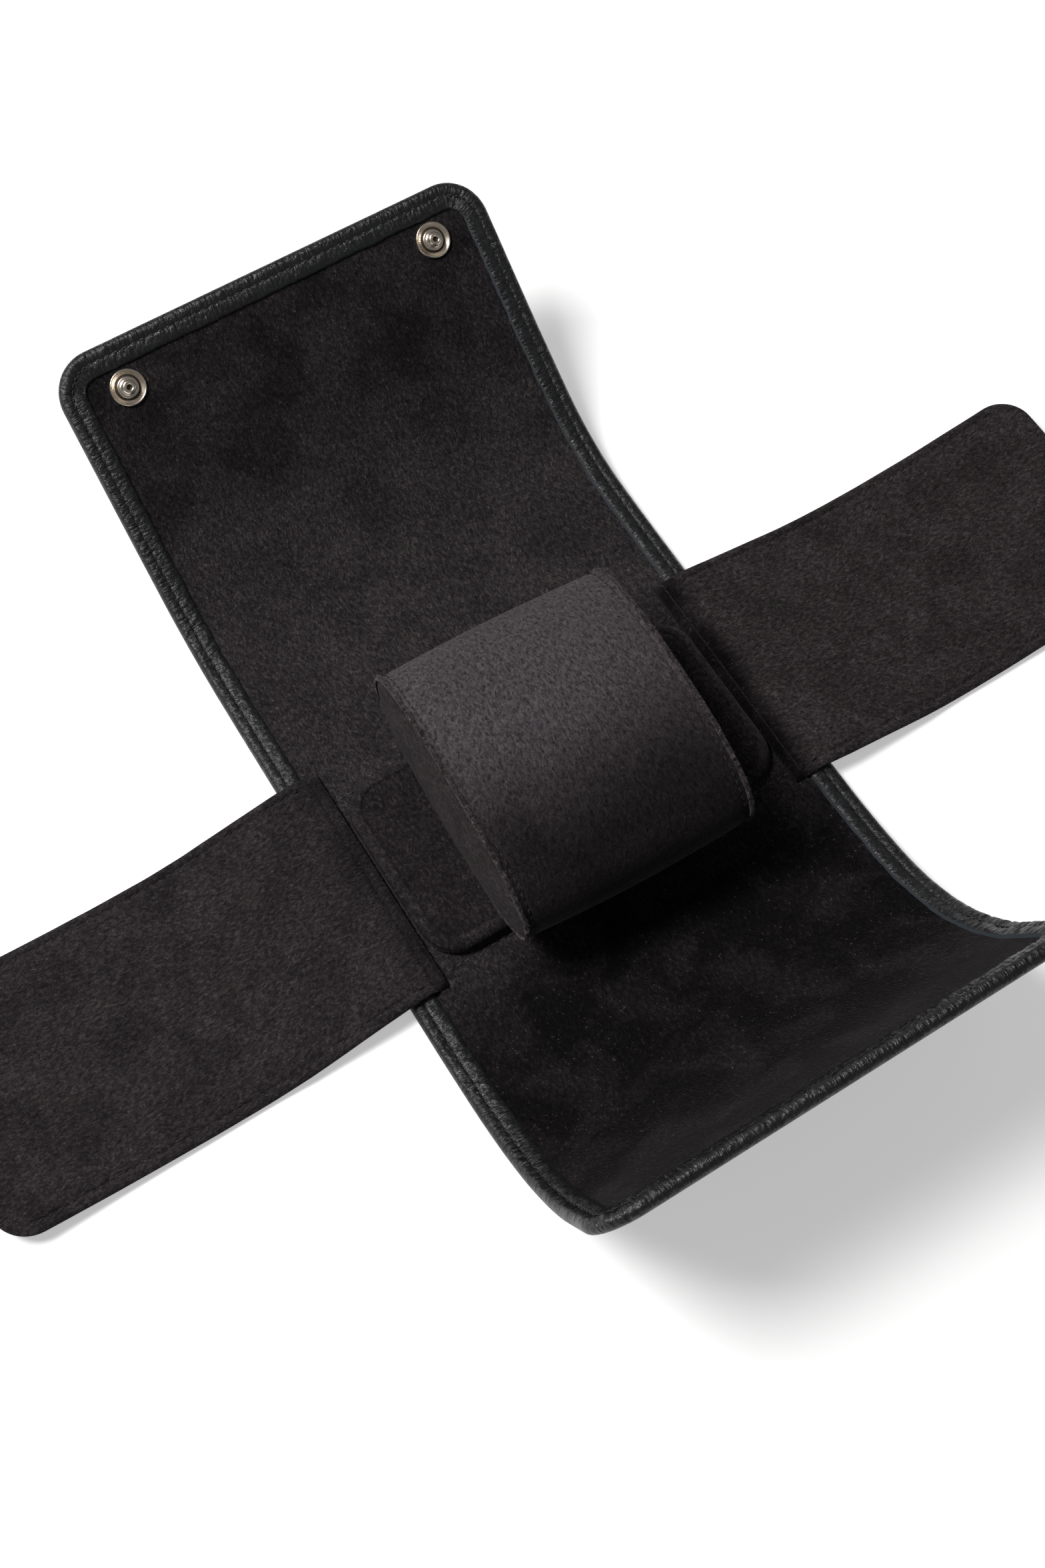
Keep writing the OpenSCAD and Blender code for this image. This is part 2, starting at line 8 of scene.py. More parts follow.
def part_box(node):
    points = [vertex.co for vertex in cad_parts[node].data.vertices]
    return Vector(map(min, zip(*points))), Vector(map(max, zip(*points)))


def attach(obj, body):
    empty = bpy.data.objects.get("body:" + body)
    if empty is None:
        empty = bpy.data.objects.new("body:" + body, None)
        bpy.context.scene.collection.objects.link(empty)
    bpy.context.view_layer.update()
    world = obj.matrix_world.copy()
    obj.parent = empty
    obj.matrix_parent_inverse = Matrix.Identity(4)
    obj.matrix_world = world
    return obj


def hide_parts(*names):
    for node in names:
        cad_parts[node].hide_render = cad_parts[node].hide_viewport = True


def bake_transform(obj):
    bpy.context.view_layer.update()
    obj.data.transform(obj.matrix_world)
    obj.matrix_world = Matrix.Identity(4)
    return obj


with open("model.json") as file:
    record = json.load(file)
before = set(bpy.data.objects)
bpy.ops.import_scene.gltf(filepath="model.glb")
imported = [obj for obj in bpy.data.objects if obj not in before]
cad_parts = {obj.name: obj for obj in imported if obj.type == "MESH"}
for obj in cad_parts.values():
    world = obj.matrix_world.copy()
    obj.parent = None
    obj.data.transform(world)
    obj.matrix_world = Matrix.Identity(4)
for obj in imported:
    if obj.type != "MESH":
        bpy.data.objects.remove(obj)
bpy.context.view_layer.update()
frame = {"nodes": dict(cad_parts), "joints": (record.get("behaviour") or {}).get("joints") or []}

# The view. The roll is seen from above, a little to the left of its long axis, from about half a metre,
# with a short telephoto lens and the frame upright.
camera_place = Vector((-0.1088, -0.1607, 0.425))
looked_at = Vector((-0.0071, 0.0037, 0))
sensor_long_side = 36
focal_length = 43.6

camera = bpy.data.objects.new("camera", bpy.data.cameras.new("camera"))
camera.data.sensor_width = sensor_long_side
camera.data.lens = focal_length
camera.data.clip_start = 0.01
camera.location = camera_place
camera.rotation_mode = "QUATERNION"
camera.rotation_quaternion = (looked_at - camera_place).to_track_quat("-Z", "Y")
bpy.context.scene.collection.objects.link(camera)
bpy.context.scene.camera = camera
bpy.context.scene.view_settings.view_transform = "Standard"


# The table and the light. A white sweep carries the roll. One large soft lamp stands beyond the far flap
# to the left, so that shadows fall to the lower right.
def linear(hex_colour):
    """Linear red, green, blue and alpha of an sRGB hex colour, by the sRGB curve."""
    parts = np.array([int(hex_colour[i:i + 2], 16) / 255 for i in (1, 3, 5)])
    curved = np.where(parts > 0.04045, ((parts + 0.055) / 1.055) ** 2.4, parts / 12.92)
    return (*curved, 1)


def add(material, kind, inputs, **settings):
    """Adds a shader node: settings are its own properties, and inputs are values, sockets or whole nodes. A
    node feeds its first output in use."""
    made = material.node_tree.nodes.new("ShaderNode" + kind)
    for name, value in settings.items():
        setattr(made, name, value)
    for name, value in inputs.items():
        if isinstance(value, bpy.types.Node):
            value = next(socket for socket in value.outputs if socket.enabled)
        if isinstance(value, bpy.types.NodeSocket):
            material.node_tree.links.new(value, made.inputs[name])
        else:
            made.inputs[name].default_value = value
    return made


def start_material(name):
    """A material with an empty node tree."""
    material = bpy.data.materials.new(name)
    material.use_nodes = True
    material.node_tree.nodes.clear()
    return material


paper_white = linear("#e6e6e6")
paper_glow = 0.42


def white_paper():
    """Matt paper sweep: it keeps the shadow, and shows white to the eye and to metal."""
    material = start_material("white_paper")
    matt = add(material, "BsdfDiffuse", {"Color": paper_white})
    ray = add(material, "LightPath", {})
    seen = add(material, "Math", {0: ray.outputs["Is Camera Ray"], 1: ray.outputs["Is Glossy Ray"]},
               operation="MAXIMUM")
    glow = add(material, "Math", {0: seen, 1: paper_glow}, operation="MULTIPLY")
    light = add(material, "Emission", {"Strength": glow})
    both = add(material, "AddShader", {0: matt, 1: light})
    add(material, "OutputMaterial", {"Surface": both})
    return material


table_half = 3.0
table_drop = 0.00005
sweep = bpy.data.meshes.new("table")
sweep.from_pydata([(x * table_half, y * table_half, -table_drop) for x, y in
                   ((-1, -1), (1, -1), (1, 1), (-1, 1))], [], [(0, 1, 2, 3)])
table = bpy.data.objects.new("table", sweep)
table.data.materials.append(white_paper())
bpy.context.scene.collection.objects.link(table)


def lamp(name, place, size, power, colour):
    """Square area lamp at a place in metres, turned to face the roll."""
    light = bpy.data.lights.new(name, "AREA")
    light.size = size
    light.energy = power
    light.color = linear(colour)[:3]
    holder = bpy.data.objects.new(name, light)
    holder.location = place
    holder.rotation_mode = "QUATERNION"
    holder.rotation_quaternion = (-Vector(place)).to_track_quat("-Z", "Y")
    bpy.context.scene.collection.objects.link(holder)


lamp("key_lamp", place=(-0.42, 0.31, 0.86), size=0.36, power=10.8, colour="#fffdfc")

surroundings = bpy.data.worlds.new("surroundings")
surroundings.use_nodes = True
room_grey = linear("#6d6d6e")
room = surroundings.node_tree.nodes["Background"]
room.inputs["Color"].default_value = room_grey
bpy.context.scene.world = surroundings


# The strip. One length of leather, stiffener and microsuede runs the whole length of the roll. It lies flat
# in the middle, and its two flaps keep the curl of having been rolled up. Sizes here are millimetres.
joints = {j["name"]: np.array(j["pos_m"]) * 1000 for j in frame["joints"] if j.get("pos_m")}
strip_low, strip_high = (np.array(corner) * 1000 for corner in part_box("base_leather"))
strip_w = strip_high[0] - strip_low[0]
leather_t = joints["far_flap_fold"][2]
far_root, near_root = joints["far_flap_fold"][1], -joints["near_flap_fold"][1]
far_len, far_wall = 117, 53.4
near_len, near_wall = 104, 46
shoulder_len = 16
corner_r = 11
# Share of wall and shoulder together, and slope there in degrees
far_curl = np.array([[0, 0], [0.354, 3], [0.792, 34], [1.23, 38]])
near_curl = np.array([[0, 0], [0.386, 11], [0.872, 48], [1.258, 68]])

board_t, lining_t, edge_t, edge_w = 0.8, 0.7, 0.9, 6.4
board_top = leather_t + board_t
lining_top = board_top + lining_t
edge_top = lining_top + edge_t

far_end, near_end = far_root + far_len, -near_root - near_len
track = np.linspace(near_end, far_end, 6001)


def slope(v):
    """Slope of the strip at v along it from its middle, in radians: nought on the base, and on each flap read
    off its curl between the given shares."""
    far = np.interp(v - far_root, far_curl[:, 0] * (far_wall + shoulder_len), far_curl[:, 1])
    near = np.interp(-v - near_root, near_curl[:, 0] * (near_wall + shoulder_len), near_curl[:, 1])
    return np.radians(far - near)


def run_along(x, y):
    """Distance run along a line of points: the sum of the straight steps between them."""
    return np.concatenate([[0], np.cumsum(np.hypot(np.diff(x), np.diff(y)))])


def joined(*parts):
    """Points or pairs whose coordinates are these arrays, each spread to their common shape."""
    return np.stack(np.broadcast_arrays(*parts), axis=-1)


def summed(rate, stations, zero_at):
    """Running integral of a rate over its stations by the trapezium rule, nought at one place."""
    total = np.concatenate([[0], np.cumsum((rate[1:] + rate[:-1]) / 2 * np.diff(stations))])
    return total - np.interp(zero_at, stations, total)


track_y = summed(np.cos(slope(track)), track, 0)
track_z = summed(np.sin(slope(track)), track, 0) + leather_t


def on_strip(u, v, depth):
    """Point at u across and v along the strip: the bent line's point, moved along its normal. The depth is
    counted from the leather's outer face, and the line lies between leather and board."""
    turn, rise = slope(v), depth - leather_t
    return joined(u, np.interp(v, track, track_y) - rise * np.sin(turn),
                  np.interp(v, track, track_z) + rise * np.cos(turn))


# Each stretch of the strip spans one fold: its name, the ends of the stretch, the fold's place along
# the strip, the bodies on each side, and how far the bend reaches before and after the fold.
root_reach, bend_reach = (1, 9), (6, 6)
strip_stretches = [
    ("near_tip", near_end - 1, -near_root - near_wall - shoulder_len / 2,
     -near_root - near_wall - shoulder_len, "near_shoulder", "near_top", bend_reach),
    ("near_bend", -near_root - near_wall - shoulder_len / 2, -near_root - near_wall / 2,
     -near_root - near_wall, "near_wall", "near_shoulder", bend_reach),
    ("near_root", -near_root - near_wall / 2, 0, -near_root, "base", "near_wall", root_reach),
    ("far_root", 0, far_root + far_wall / 2, far_root, "base", "far_wall", root_reach),
    ("far_bend", far_root + far_wall / 2, far_root + far_wall + shoulder_len / 2,
     far_root + far_wall, "far_wall", "far_shoulder", bend_reach),
    ("far_tip", far_root + far_wall + shoulder_len / 2, far_end + 1,
     far_root + far_wall + shoulder_len, "far_shoulder", "far_top", bend_reach),
]


def quads_of(n, m, count=1):
    """Corner numbers of the faces of a grid of n by m points, whose outer side is d/dn x d/dm, and of as
    many more like grids as the count says, one after another."""
    k = np.arange(count * n * m).reshape(count, n, m)
    corners = [k[:, :-1, :-1], k[:, 1:, :-1], k[:, 1:, 1:], k[:, :-1, 1:]]
    return np.stack(corners, axis=-1).reshape(-1, 4)


def patch(points, flat, along, finish=0, flip=False, quads=None):
    """A patch of surface: points in millimetres, flat pattern coordinates, and the place along the sheet that
    decides which stretch a face belongs to."""
    quads = quads_of(*points.shape[:2]) if quads is None else quads
    shape = points.shape[:-1]
    return {
        "points": points.reshape(-1, 3),
        "flat": np.broadcast_to(joined(*flat), (*shape, 2)).reshape(-1, 2),
        "along": np.broadcast_to(along, shape).ravel(),
        "quads": quads[:, ::-1] if flip else quads,
        "finish": np.full(len(quads), finish),
    }


def sew(patches, reach=0.01):
    """Joins patches into one surface. Points within that reach in millimetres become one, and each point's
    normal is the sum of the normals of its faces, weighted by their area."""
    starts = np.cumsum([0] + [len(p["points"]) for p in patches])
    corner = np.concatenate([p["quads"] + s for p, s in zip(patches, starts)])
    points = np.concatenate([p["points"] for p in patches])
    flat = np.concatenate([p["flat"] for p in patches])[corner]
    middle = np.concatenate([p["along"] for p in patches])[corner].mean(axis=1)
    _, first, kept = np.unique(np.round(points / reach).astype(int), axis=0, return_index=True,
                               return_inverse=True)
    points, corner = points[first], kept.reshape(-1)[corner]
    a, b, c, d = (points[corner[:, i]] for i in range(4))
    face_normal = np.cross(c - a, d - b)
    normals = np.zeros_like(points)
    for i in range(4):
        np.add.at(normals, corner[:, i], face_normal)
    normals /= np.linalg.norm(normals, axis=1, keepdims=True) + 1e-12
    return {"points": points, "corner": corner, "flat": flat, "middle": middle, "normals": normals,
            "finish": np.concatenate([p["finish"] for p in patches])}


def mesh_piece(name, surface, materials, low=-1e9, high=1e9):
    """Blender object of the surface's faces whose middle lies between low and high along the sheet. A face
    that closes on a point keeps its three other corners."""
    chosen = (surface["middle"] > low) & (surface["middle"] < high)
    corner = surface["corner"][chosen]
    distinct = corner != np.roll(corner, -1, axis=1)
    ordered = np.sort(corner, axis=1)
    different = 1 + (np.diff(ordered, axis=1) > 0).sum(axis=1)
    solid = (different > 2) & (different == distinct.sum(axis=1))
    corner, distinct = corner[solid], distinct[solid]
    used, loops = np.unique(corner[distinct], return_inverse=True)
    ends = np.cumsum(distinct.sum(axis=1))
    mesh = bpy.data.meshes.new(name)
    mesh.from_pydata(surface["points"][used] / 1000, [], [f.tolist() for f in np.split(loops, ends[:-1])])
    layer = mesh.uv_layers.new(name="flat")
    layer.data.foreach_set("uv", (surface["flat"][chosen][solid][distinct] / 1000).ravel())
    for material in materials:
        mesh.materials.append(material)
    mesh.polygons.foreach_set("material_index", surface["finish"][chosen][solid])
    mesh.polygons.foreach_set("use_smooth", np.ones(len(ends), bool))
    mesh.normals_split_custom_set_from_vertices(surface["normals"][used])
    piece = bpy.data.objects.new(name, mesh)
    bpy.context.scene.collection.objects.link(piece)
    return piece


def bent_pieces(name, surface, materials, stretches, line_at, nodes_of):
    """Cuts a layer at its stretches into pieces, one a stretch, and hides the nodes of both bodies that
    each piece stands for. The pieces are not bent."""
    made = []
    for stretch, low, high, fold, inner, outer, (before, after) in stretches:
        piece = mesh_piece(f"{name}_{stretch}", surface, materials, low, high)
        place, outward = line_at(fold)
        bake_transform(piece)
        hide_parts(*[n for n in nodes_of(inner, outer) if n in frame["nodes"]])
        made.append(piece)
    return made


def strip_line(v):
    """Point of the strip's own line at v, and the direction that leads outwards there."""
    return on_strip(0, v, leather_t), np.sign(v) * np.array([0, np.cos(slope(v)), np.sin(slope(v))])


def strip_pieces(name, surface, materials, node_kinds):
    """One layer of the strip, cut at the strip's stretches."""
    def nodes_of(inner, outer):
        """The layer's nodes on the two bodies."""
        return [f"{body}_{kind}" for body in (inner, outer) for kind in node_kinds]

    bent_pieces(name, surface, materials, strip_stretches, strip_line, nodes_of)


def rim(half, length, corner, rows, columns, turns=18):
    """Edge of one end of a sheet, from its right side round the tip to its left: points, the directions
    that lead inwards from them, and the distance run. The corners are quarter circles."""
    arc = np.radians(np.linspace(0, 90, turns + 1))[1:-1]
    ones, across = np.ones(len(rows)), half - corner + corner * np.cos(arc)
    up = length - corner + corner * np.sin(arc)
    u = np.concatenate([half * ones, across, columns, -across[::-1], -half * ones])
    v = np.concatenate([rows, up, length + 0 * columns, up[::-1], rows[::-1]])
    inward_u = np.concatenate([-ones, -np.cos(arc), 0 * columns, np.cos(arc)[::-1], ones])
    inward_v = np.concatenate([0 * ones, -np.sin(arc), -1 + 0 * columns, -np.sin(arc)[::-1], 0 * ones])
    return u, v, inward_u, inward_v, run_along(u, v)


def drawn_in(edge, inset, side=1):
    """Places at insets from a rim: its points, moved in the directions that lead inwards."""
    u, v, inward_u, inward_v, _ = (q[:, None] for q in edge)
    return u + inward_u * inset, side * (v + inward_v * inset)


def rows_between(marks, step):
    """Stations from the first mark to the last that meet every mark, no further apart than a step."""
    spans = [np.linspace(a, b, int(np.ceil((b - a) / step)), endpoint=False)
             for a, b in zip(marks[:-1], marks[1:])]
    return np.concatenate([*spans, marks[-1:]])


half_w = strip_w / 2
ends = {
    1: [0, far_root + far_wall / 2, far_root + far_wall + shoulder_len / 2, far_end - corner_r],
    -1: [0, near_root + near_wall / 2, near_root + near_wall + shoulder_len / 2, -near_end - corner_r],
}


def end_grid(side, step):
    """Rows, columns and rim of the strip's far (1) or near (-1) end, on a grid of that step."""
    rows = rows_between(np.array(ends[side]), step)
    columns = np.linspace(half_w - corner_r, corner_r - half_w, int(2 * half_w / step))
    return rows, columns, rim(half_w, ends[side][-1] + corner_r, corner_r, rows, columns)


def middle(side, grid, depth, finish=0, under=False):
    """Rectangle inside the rim's corners, at a depth worked out from u and v."""
    rows, columns = grid[:2]
    across, along = columns[None, :], side * rows[:, None]
    across, along = np.broadcast_arrays(across, along)
    points = on_strip(across, along, depth(across, along))
    return patch(points, (across, along), along, finish, flip=(side < 0) != under)


def unevenness(x, y, pitch_x, pitch_y, seed):
    """Smooth random field from -1 to 1: random values on a lattice of that pitch, joined by smoothsteps."""
    cells = 256
    values = np.random.default_rng(seed).uniform(-1, 1, (cells, cells))
    gx, gy = np.broadcast_arrays(x / pitch_x, y / pitch_y)
    ix, iy = np.floor(gx).astype(int), np.floor(gy).astype(int)
    fx, fy = gx - ix, gy - iy
    fx, fy = fx * fx * (3 - 2 * fx), fy * fy * (3 - 2 * fy)
    corners = [values[(ix + i) % cells, (iy + j) % cells] for i in (0, 1) for j in (0, 1)]
    low, high = corners[0] * (1 - fy) + corners[1] * fy, corners[2] * (1 - fy) + corners[3] * fy
    return low * (1 - fx) + high * fx


def ripple(run, pitch, seed):
    """Unevenness along one line only, with its random values a pitch apart."""
    return unevenness(run, 0 * run, pitch, 1, seed)


# The outer leather. Black pebble-grained calf, skived thin at its edges, drawn round the stiffener and
# turned over onto the lining, where it is sewn down. Turning it creases it square to the edge, most at the
# corners, and the cut edge shows as a step.
stitch_in, stitch_pitch = 3.2, 2.4
roll_reach = 1.5
# Where along the near flap its edge begins to crease in the curl, and how far on it is creased most
curl_from, curl_over = 62, 25


def hump(x, middle_at, width):
    """Bell curve of height one."""
    return np.exp(-((x - middle_at) / width) ** 2)


def leather_section():
    """Insets and depths of the edge: under the strip, round the roll, over the lining, down the cut edge."""
    turn = np.radians(np.linspace(-90, 90, 13))
    under = np.array([corner_r, 8, 5.5, 3.5, 2.3])
    over = np.array([1.9, 2.3, 2.6, 2.85, 3.05, 3.2, 3.35, 3.55, 3.8, 4.2, 4.7, 5.2, 5.6, 5.9, 6.1, 6.22])
    cut = np.array([edge_w - 0.1, edge_w + 0.06, edge_w + 0.25])
    inset = np.concatenate([under, roll_reach * (1 - np.cos(turn)), over, cut])
    skived = edge_top - 0.16 * np.clip((over - 5.4) / 0.8, 0, 1) ** 1.5
    depth = np.concatenate([0 * under, edge_top / 2 * (1 + np.sin(turn)), skived,
                            [edge_top - 0.22, edge_top - 0.52, lining_top - 0.12]])
    return inset, depth


def leather_relief(run, inset, top_share, at_corner, curled):
    """How far the turned edge stands out: puffed each side of the sewing, pulled down in it and at each
    hole, creased square to the edge, more so where the flap curls, and gathered in pleats at the corners."""
    hole = 0.5 + 0.5 * np.cos(2 * np.pi * run / stitch_pitch)
    sewing = -(0.09 + 0.12 * hole) * hump(inset, stitch_in, 0.32)
    puff = 0.06 * hump(inset, 1.9, 0.8) + 0.05 * hump(inset, 4.9, 0.9)
    slant = run + 0.35 * unevenness(run, inset, 7, 2.5, 3)
    crease = -np.abs(unevenness(slant, inset, 1.3, 3.2, 5)) + 0.3
    crease = crease * (0.07 + 0.13 * (ripple(run, 14, 8) > 0.05) + 0.3 * curled)
    pleat = -np.abs(unevenness(slant, inset, 1.5, 5, 12)) ** 0.7 * 0.6 * at_corner
    fine = 0.035 * unevenness(run, inset, 0.8, 0.8, 21)
    free = 1 - 0.75 * hump(inset, edge_w, 0.5)
    return top_share * free * (sewing + puff + crease + pleat + fine)


def wavy_cut(run):
    """The cut edge wanders a little."""
    return 0.16 * ripple(run, 4.5, 31) + 0.1 * ripple(run, 1.3, 33)


def leather_patches(side):
    """The leather of one end: its outer face inside the rim's corners, then the section carried round the
    rim in three stretches, whose grain lies flat, runs with the rim, or shows the cut. The section's first
    steps lie under the strip, and those past the rolled edge lie on the lining."""
    grid = end_grid(side, 0.5)
    _, along, inward_u, inward_v, run = (q[:, None] for q in grid[2])
    inset, depth = leather_section()
    under, over_edge = 6, 20
    on_top = np.arange(len(inset)) > over_edge
    top_share = np.clip(depth / edge_top * 1.6 - 0.6, 0, 1)
    at_corner = 2 * np.abs(inward_u * inward_v)
    curled = np.clip((-side * along - curl_from) / curl_over, 0, 1)
    depth = depth + leather_relief(run, inset, top_share, at_corner, curled)
    inset = inset + hump(inset, edge_w, 0.9) * wavy_cut(run) * on_top
    across, along = drawn_in(grid[2], inset, side)
    points = on_strip(across, along, depth)
    section = run_along(inset.mean(0), depth.mean(0))
    return [
        patch(points[:, :under], (across[:, :under], along[:, :under]), along[:, :under], 0, side < 0),
        patch(points[:, under - 1:-2], (run, section[under - 1:-2]), along[:, under - 1:-2], 1, side < 0),
        patch(points[:, -3:], (run, section[-3:]), along[:, -3:], 2, side < 0),
        middle(side, grid, lambda across, along: 0 * across, under=True),
    ]


leather_black = linear("#141516")
leather_pore = linear("#0a0b0c")
leather_rub = linear("#202223")
cut_edge_colour = linear("#3d474e")
pebble_mm, pore_mm, crease_mm = 0.95, 0.3, 0.8


def leather(name, creased):
    """Full-grain calf, drum dyed and pebbled, with a light wax finish: fine rounded pebbles with darker
    hollows that break a soft highlight into specks. Where it is turned over it is also creased."""
    material = start_material(name)
    flat = add(material, "UVMap", {}, uv_map="flat")
    drawn = add(material, "Mapping", {"Vector": flat, "Scale": (1, 0.6 if creased else 1, 1)})
    stretched = add(material, "Mapping", {"Vector": flat, "Scale": (1, 0.25, 1)})
    grain = add(material, "TexVoronoi", {"Vector": drawn, "Scale": 1000 / pebble_mm,
                                         "Smoothness": 0.25}, feature="SMOOTH_F1")
    pores = add(material, "TexNoise", {"Vector": flat, "Scale": 1000 / pore_mm,
                                       "Detail": 2})
    creases = add(material, "TexNoise", {"Vector": stretched, "Scale": 1000 / crease_mm,
                                         "Detail": 3, "Roughness": 0.6, "Distortion": 0.5})
    wide = add(material, "TexNoise", {"Vector": flat, "Scale": 1000 / 5, "Detail": 3})
    hollow = add(material, "MapRange", {"Value": grain, "From Min": 0.15,
                                        "From Max": 0.6})
    colour = add(material, "Mix", {0: hollow, 6: leather_black, 7: leather_pore},
                 data_type="RGBA")
    rub = add(material, "MapRange", {"Value": wide, "From Min": 0.5, "From Max": 0.8,
                                     "To Max": 0.8})
    colour = add(material, "Mix", {0: rub, 6: colour, 7: leather_rub},
                 data_type="RGBA")
    gloss = add(material, "MapRange", {"Value": wide, "From Min": 0.3, "From Max": 0.7,
                                       "To Min": 0.5, "To Max": 0.33})
    height = add(material, "Math", {0: grain, 1: -0.9}, operation="MULTIPLY")
    height = add(material, "Math", {0: pores, 1: 0.3, 2: height},
                 operation="MULTIPLY_ADD")
    height = add(material, "Math", {0: creases, 1: 2.2 if creased else 0.4,
                                    2: height}, operation="MULTIPLY_ADD")
    bump = add(material, "Bump", {"Height": height, "Strength": 0.9, "Distance": 0.00025})
    shader = add(material, "BsdfPrincipled", {
        "Base Color": colour, "Roughness": gloss, "IOR": 1.5,
        "Specular IOR Level": 0.5, "Normal": bump})
    add(material, "OutputMaterial", {"Surface": shader})
    return material


def cut_leather():
    """The raw edge that the knife left: matt, bluish grey fibre in bundles a third of a millimetre wide."""
    fibre_mm = 1 / 3
    material = start_material("cut_leather")
    flat = add(material, "UVMap", {}, uv_map="flat")
    fibre = add(material, "TexNoise", {"Vector": flat, "Scale": 1000 / fibre_mm, "Detail": 2})
    colour = add(material, "Mix", {0: fibre, 6: leather_black, 7: cut_edge_colour},
                 data_type="RGBA")
    shader = add(material, "BsdfPrincipled", {"Base Color": colour, "Roughness": 0.8})
    add(material, "OutputMaterial", {"Surface": shader})
    return material


leathers = [leather("pebbled_calf", False), leather("turned_calf_edge", True), cut_leather()]
strip_pieces("leather", sew(leather_patches(1) + leather_patches(-1)), leathers,
             ["leather", "turned_edges", "turned_edge"])


# The lining. Dark microsuede glued to the board and caught under the turned edge. Two rows of sewing cross
# it where the padded board is fixed, and the glue leaves it slightly uneven.
lining_in = 5.3
sewing_rows = np.array([22.7, -29.0])


def lining_depth(u, v):
    """Depth of the lining's face: glued nearly flat, dipping under the turned edge and into the sewing."""
    edge_in = half_w - np.abs(u)
    tip_in = np.where(v > 0, far_end - v, v - near_end)
    inset = np.minimum(edge_in, tip_in)
    dip = 0.14 * np.exp(-np.clip(inset - edge_w, 0, 99) / 0.8)
    sewing = sum(0.28 * hump(v, row, 0.7) for row in sewing_rows)
    return lining_top + 0.06 * unevenness(u, v, 9, 11, 41) + 0.03 * unevenness(u, v, 3, 3, 43) - dip - sewing


def lining_patches(side):
    """The lining of one end: both faces inside the rim's corners, joined by a section under the edge."""
    grid = end_grid(side, 1.0)
    inset = np.array([corner_r, 8, lining_in, lining_in, 5.9, 6.3, 6.7, 7.2, 8, 9, 10, corner_r])
    base = np.array([board_top] * 3 + [lining_top] * 9)
    across, along = drawn_in(grid[2], inset, side)
    depth = np.where(base > board_top, lining_depth(across, along), base)
    return [
        patch(on_strip(across, along, depth), (across, along), along, flip=side < 0),
        middle(side, grid, lining_depth),
        middle(side, grid, lambda across, along: board_top + 0 * across, under=True),
    ]


suede_deep = linear("#161415")
suede_tip = linear("#8f8a8b")
nap_patch_and_painted_shade_tint = linear("#585657")
tuft_mm, lump_mm, tip_mm = 0.42, 0.85, 2 / 3


def microsuede(name, deep, mid, light, brushed_mm=14, tips_share=0.3, halo=0.2, darker=(), patchy=0.4):
    """Polyester microsuede, dyed and sanded to a short nap: matt, with a soft halo at grazing angles. The
    nap parts into small wriggling tufts with dark gaps, lies one way or the other in wide patches, and has
    a few bright tips. Single fibres are too fine to show, so the tufts are drawn about half a millimetre.
    In each darker stretch the colour is painted darker, as painted shade: from one place along the flat
    pattern to another it is darkened by a share."""
    material = start_material(name)
    flat = add(material, "UVMap", {}, uv_map="flat")
    combed = add(material, "Mapping", {"Vector": flat, "Scale": (1, 0.55, 1),
                                       "Rotation": (0, 0, 0.5)})
    tufts = add(material, "TexNoise", {"Vector": combed, "Scale": 1000 / tuft_mm, "Detail": 2,
                                       "Roughness": 0.55, "Distortion": 0.9})
    lumps = add(material, "TexNoise", {"Vector": combed, "Scale": 1000 / lump_mm, "Detail": 2,
                                       "Roughness": 0.5, "Distortion": 0.7})
    brushed = add(material, "TexNoise", {"Vector": flat, "Scale": 1000 / brushed_mm,
                                         "Detail": 4, "Roughness": 0.5, "Distortion": 0.6})
    tips = add(material, "TexVoronoi", {"Vector": flat, "Scale": 1000 / tip_mm}, feature="F1")
    mottle = add(material, "Math", {0: lumps, 1: 0.45}, operation="MULTIPLY")
    mottle = add(material, "Math", {0: tufts, 1: 0.55, 2: mottle},
                 operation="MULTIPLY_ADD")
    gaps = add(material, "MapRange", {"Value": mottle, "From Min": 0.33, "From Max": 0.5})
    crests = add(material, "MapRange", {"Value": mottle, "From Min": 0.49, "From Max": 0.68})
    colour = add(material, "Mix", {0: gaps, 6: deep, 7: mid}, data_type="RGBA")
    colour = add(material, "Mix", {0: crests, 6: colour, 7: light},
                 data_type="RGBA")
    nap_patches_and_painted_shade = add(material, "MapRange", {"Value": brushed, "From Min": 0.62, "From Max": 0.35,
                                       "To Max": patchy})
    place = add(material, "SeparateXYZ", {0: flat})
    # Painted shade: each darker stretch darkens the colour by a share, from one place along the flat pattern
    # to another.
    for start, end, share in darker:
        painted_shade_share = add(material, "MapRange", {"Value": place.outputs["Y"], "From Min": start / 1000,
                                                 "From Max": end / 1000, "To Max": share},
                          interpolation_type="SMOOTHSTEP")
        nap_patches_and_painted_shade = add(material, "Math", {0: nap_patches_and_painted_shade, 1: painted_shade_share}, use_clamp=True)
    # The nap's random patches and the painted shade both darken the colour through one grey tint.
    colour = add(material, "Mix", {0: nap_patches_and_painted_shade, 6: colour, 7: nap_patch_and_painted_shade_tint},
                 data_type="RGBA", blend_type="MULTIPLY")
    bright = add(material, "MapRange", {"Value": tips, "From Min": 0.24,
                                        "From Max": 0.1})
    rare = add(material, "MapRange", {"Value": lumps, "From Min": 0.55, "From Max": 0.67,
                                      "To Max": tips_share})
    speck = add(material, "Math", {0: bright, 1: rare}, operation="MULTIPLY")
    colour = add(material, "Mix", {0: speck, 6: colour, 7: suede_tip},
                 data_type="RGBA")
    bump = add(material, "Bump", {"Height": mottle, "Strength": 1.0, "Distance": 0.0006})
    shader = add(material, "BsdfPrincipled", {
        "Base Color": colour, "Roughness": 0.95, "IOR": 1.45, "Specular IOR Level": 0.12,
        "Sheen Weight": halo, "Sheen Roughness": 0.4, "Sheen Tint": linear("#a8a2a4"),
        "Normal": bump})
    add(material, "OutputMaterial", {"Surface": shader})
    return material
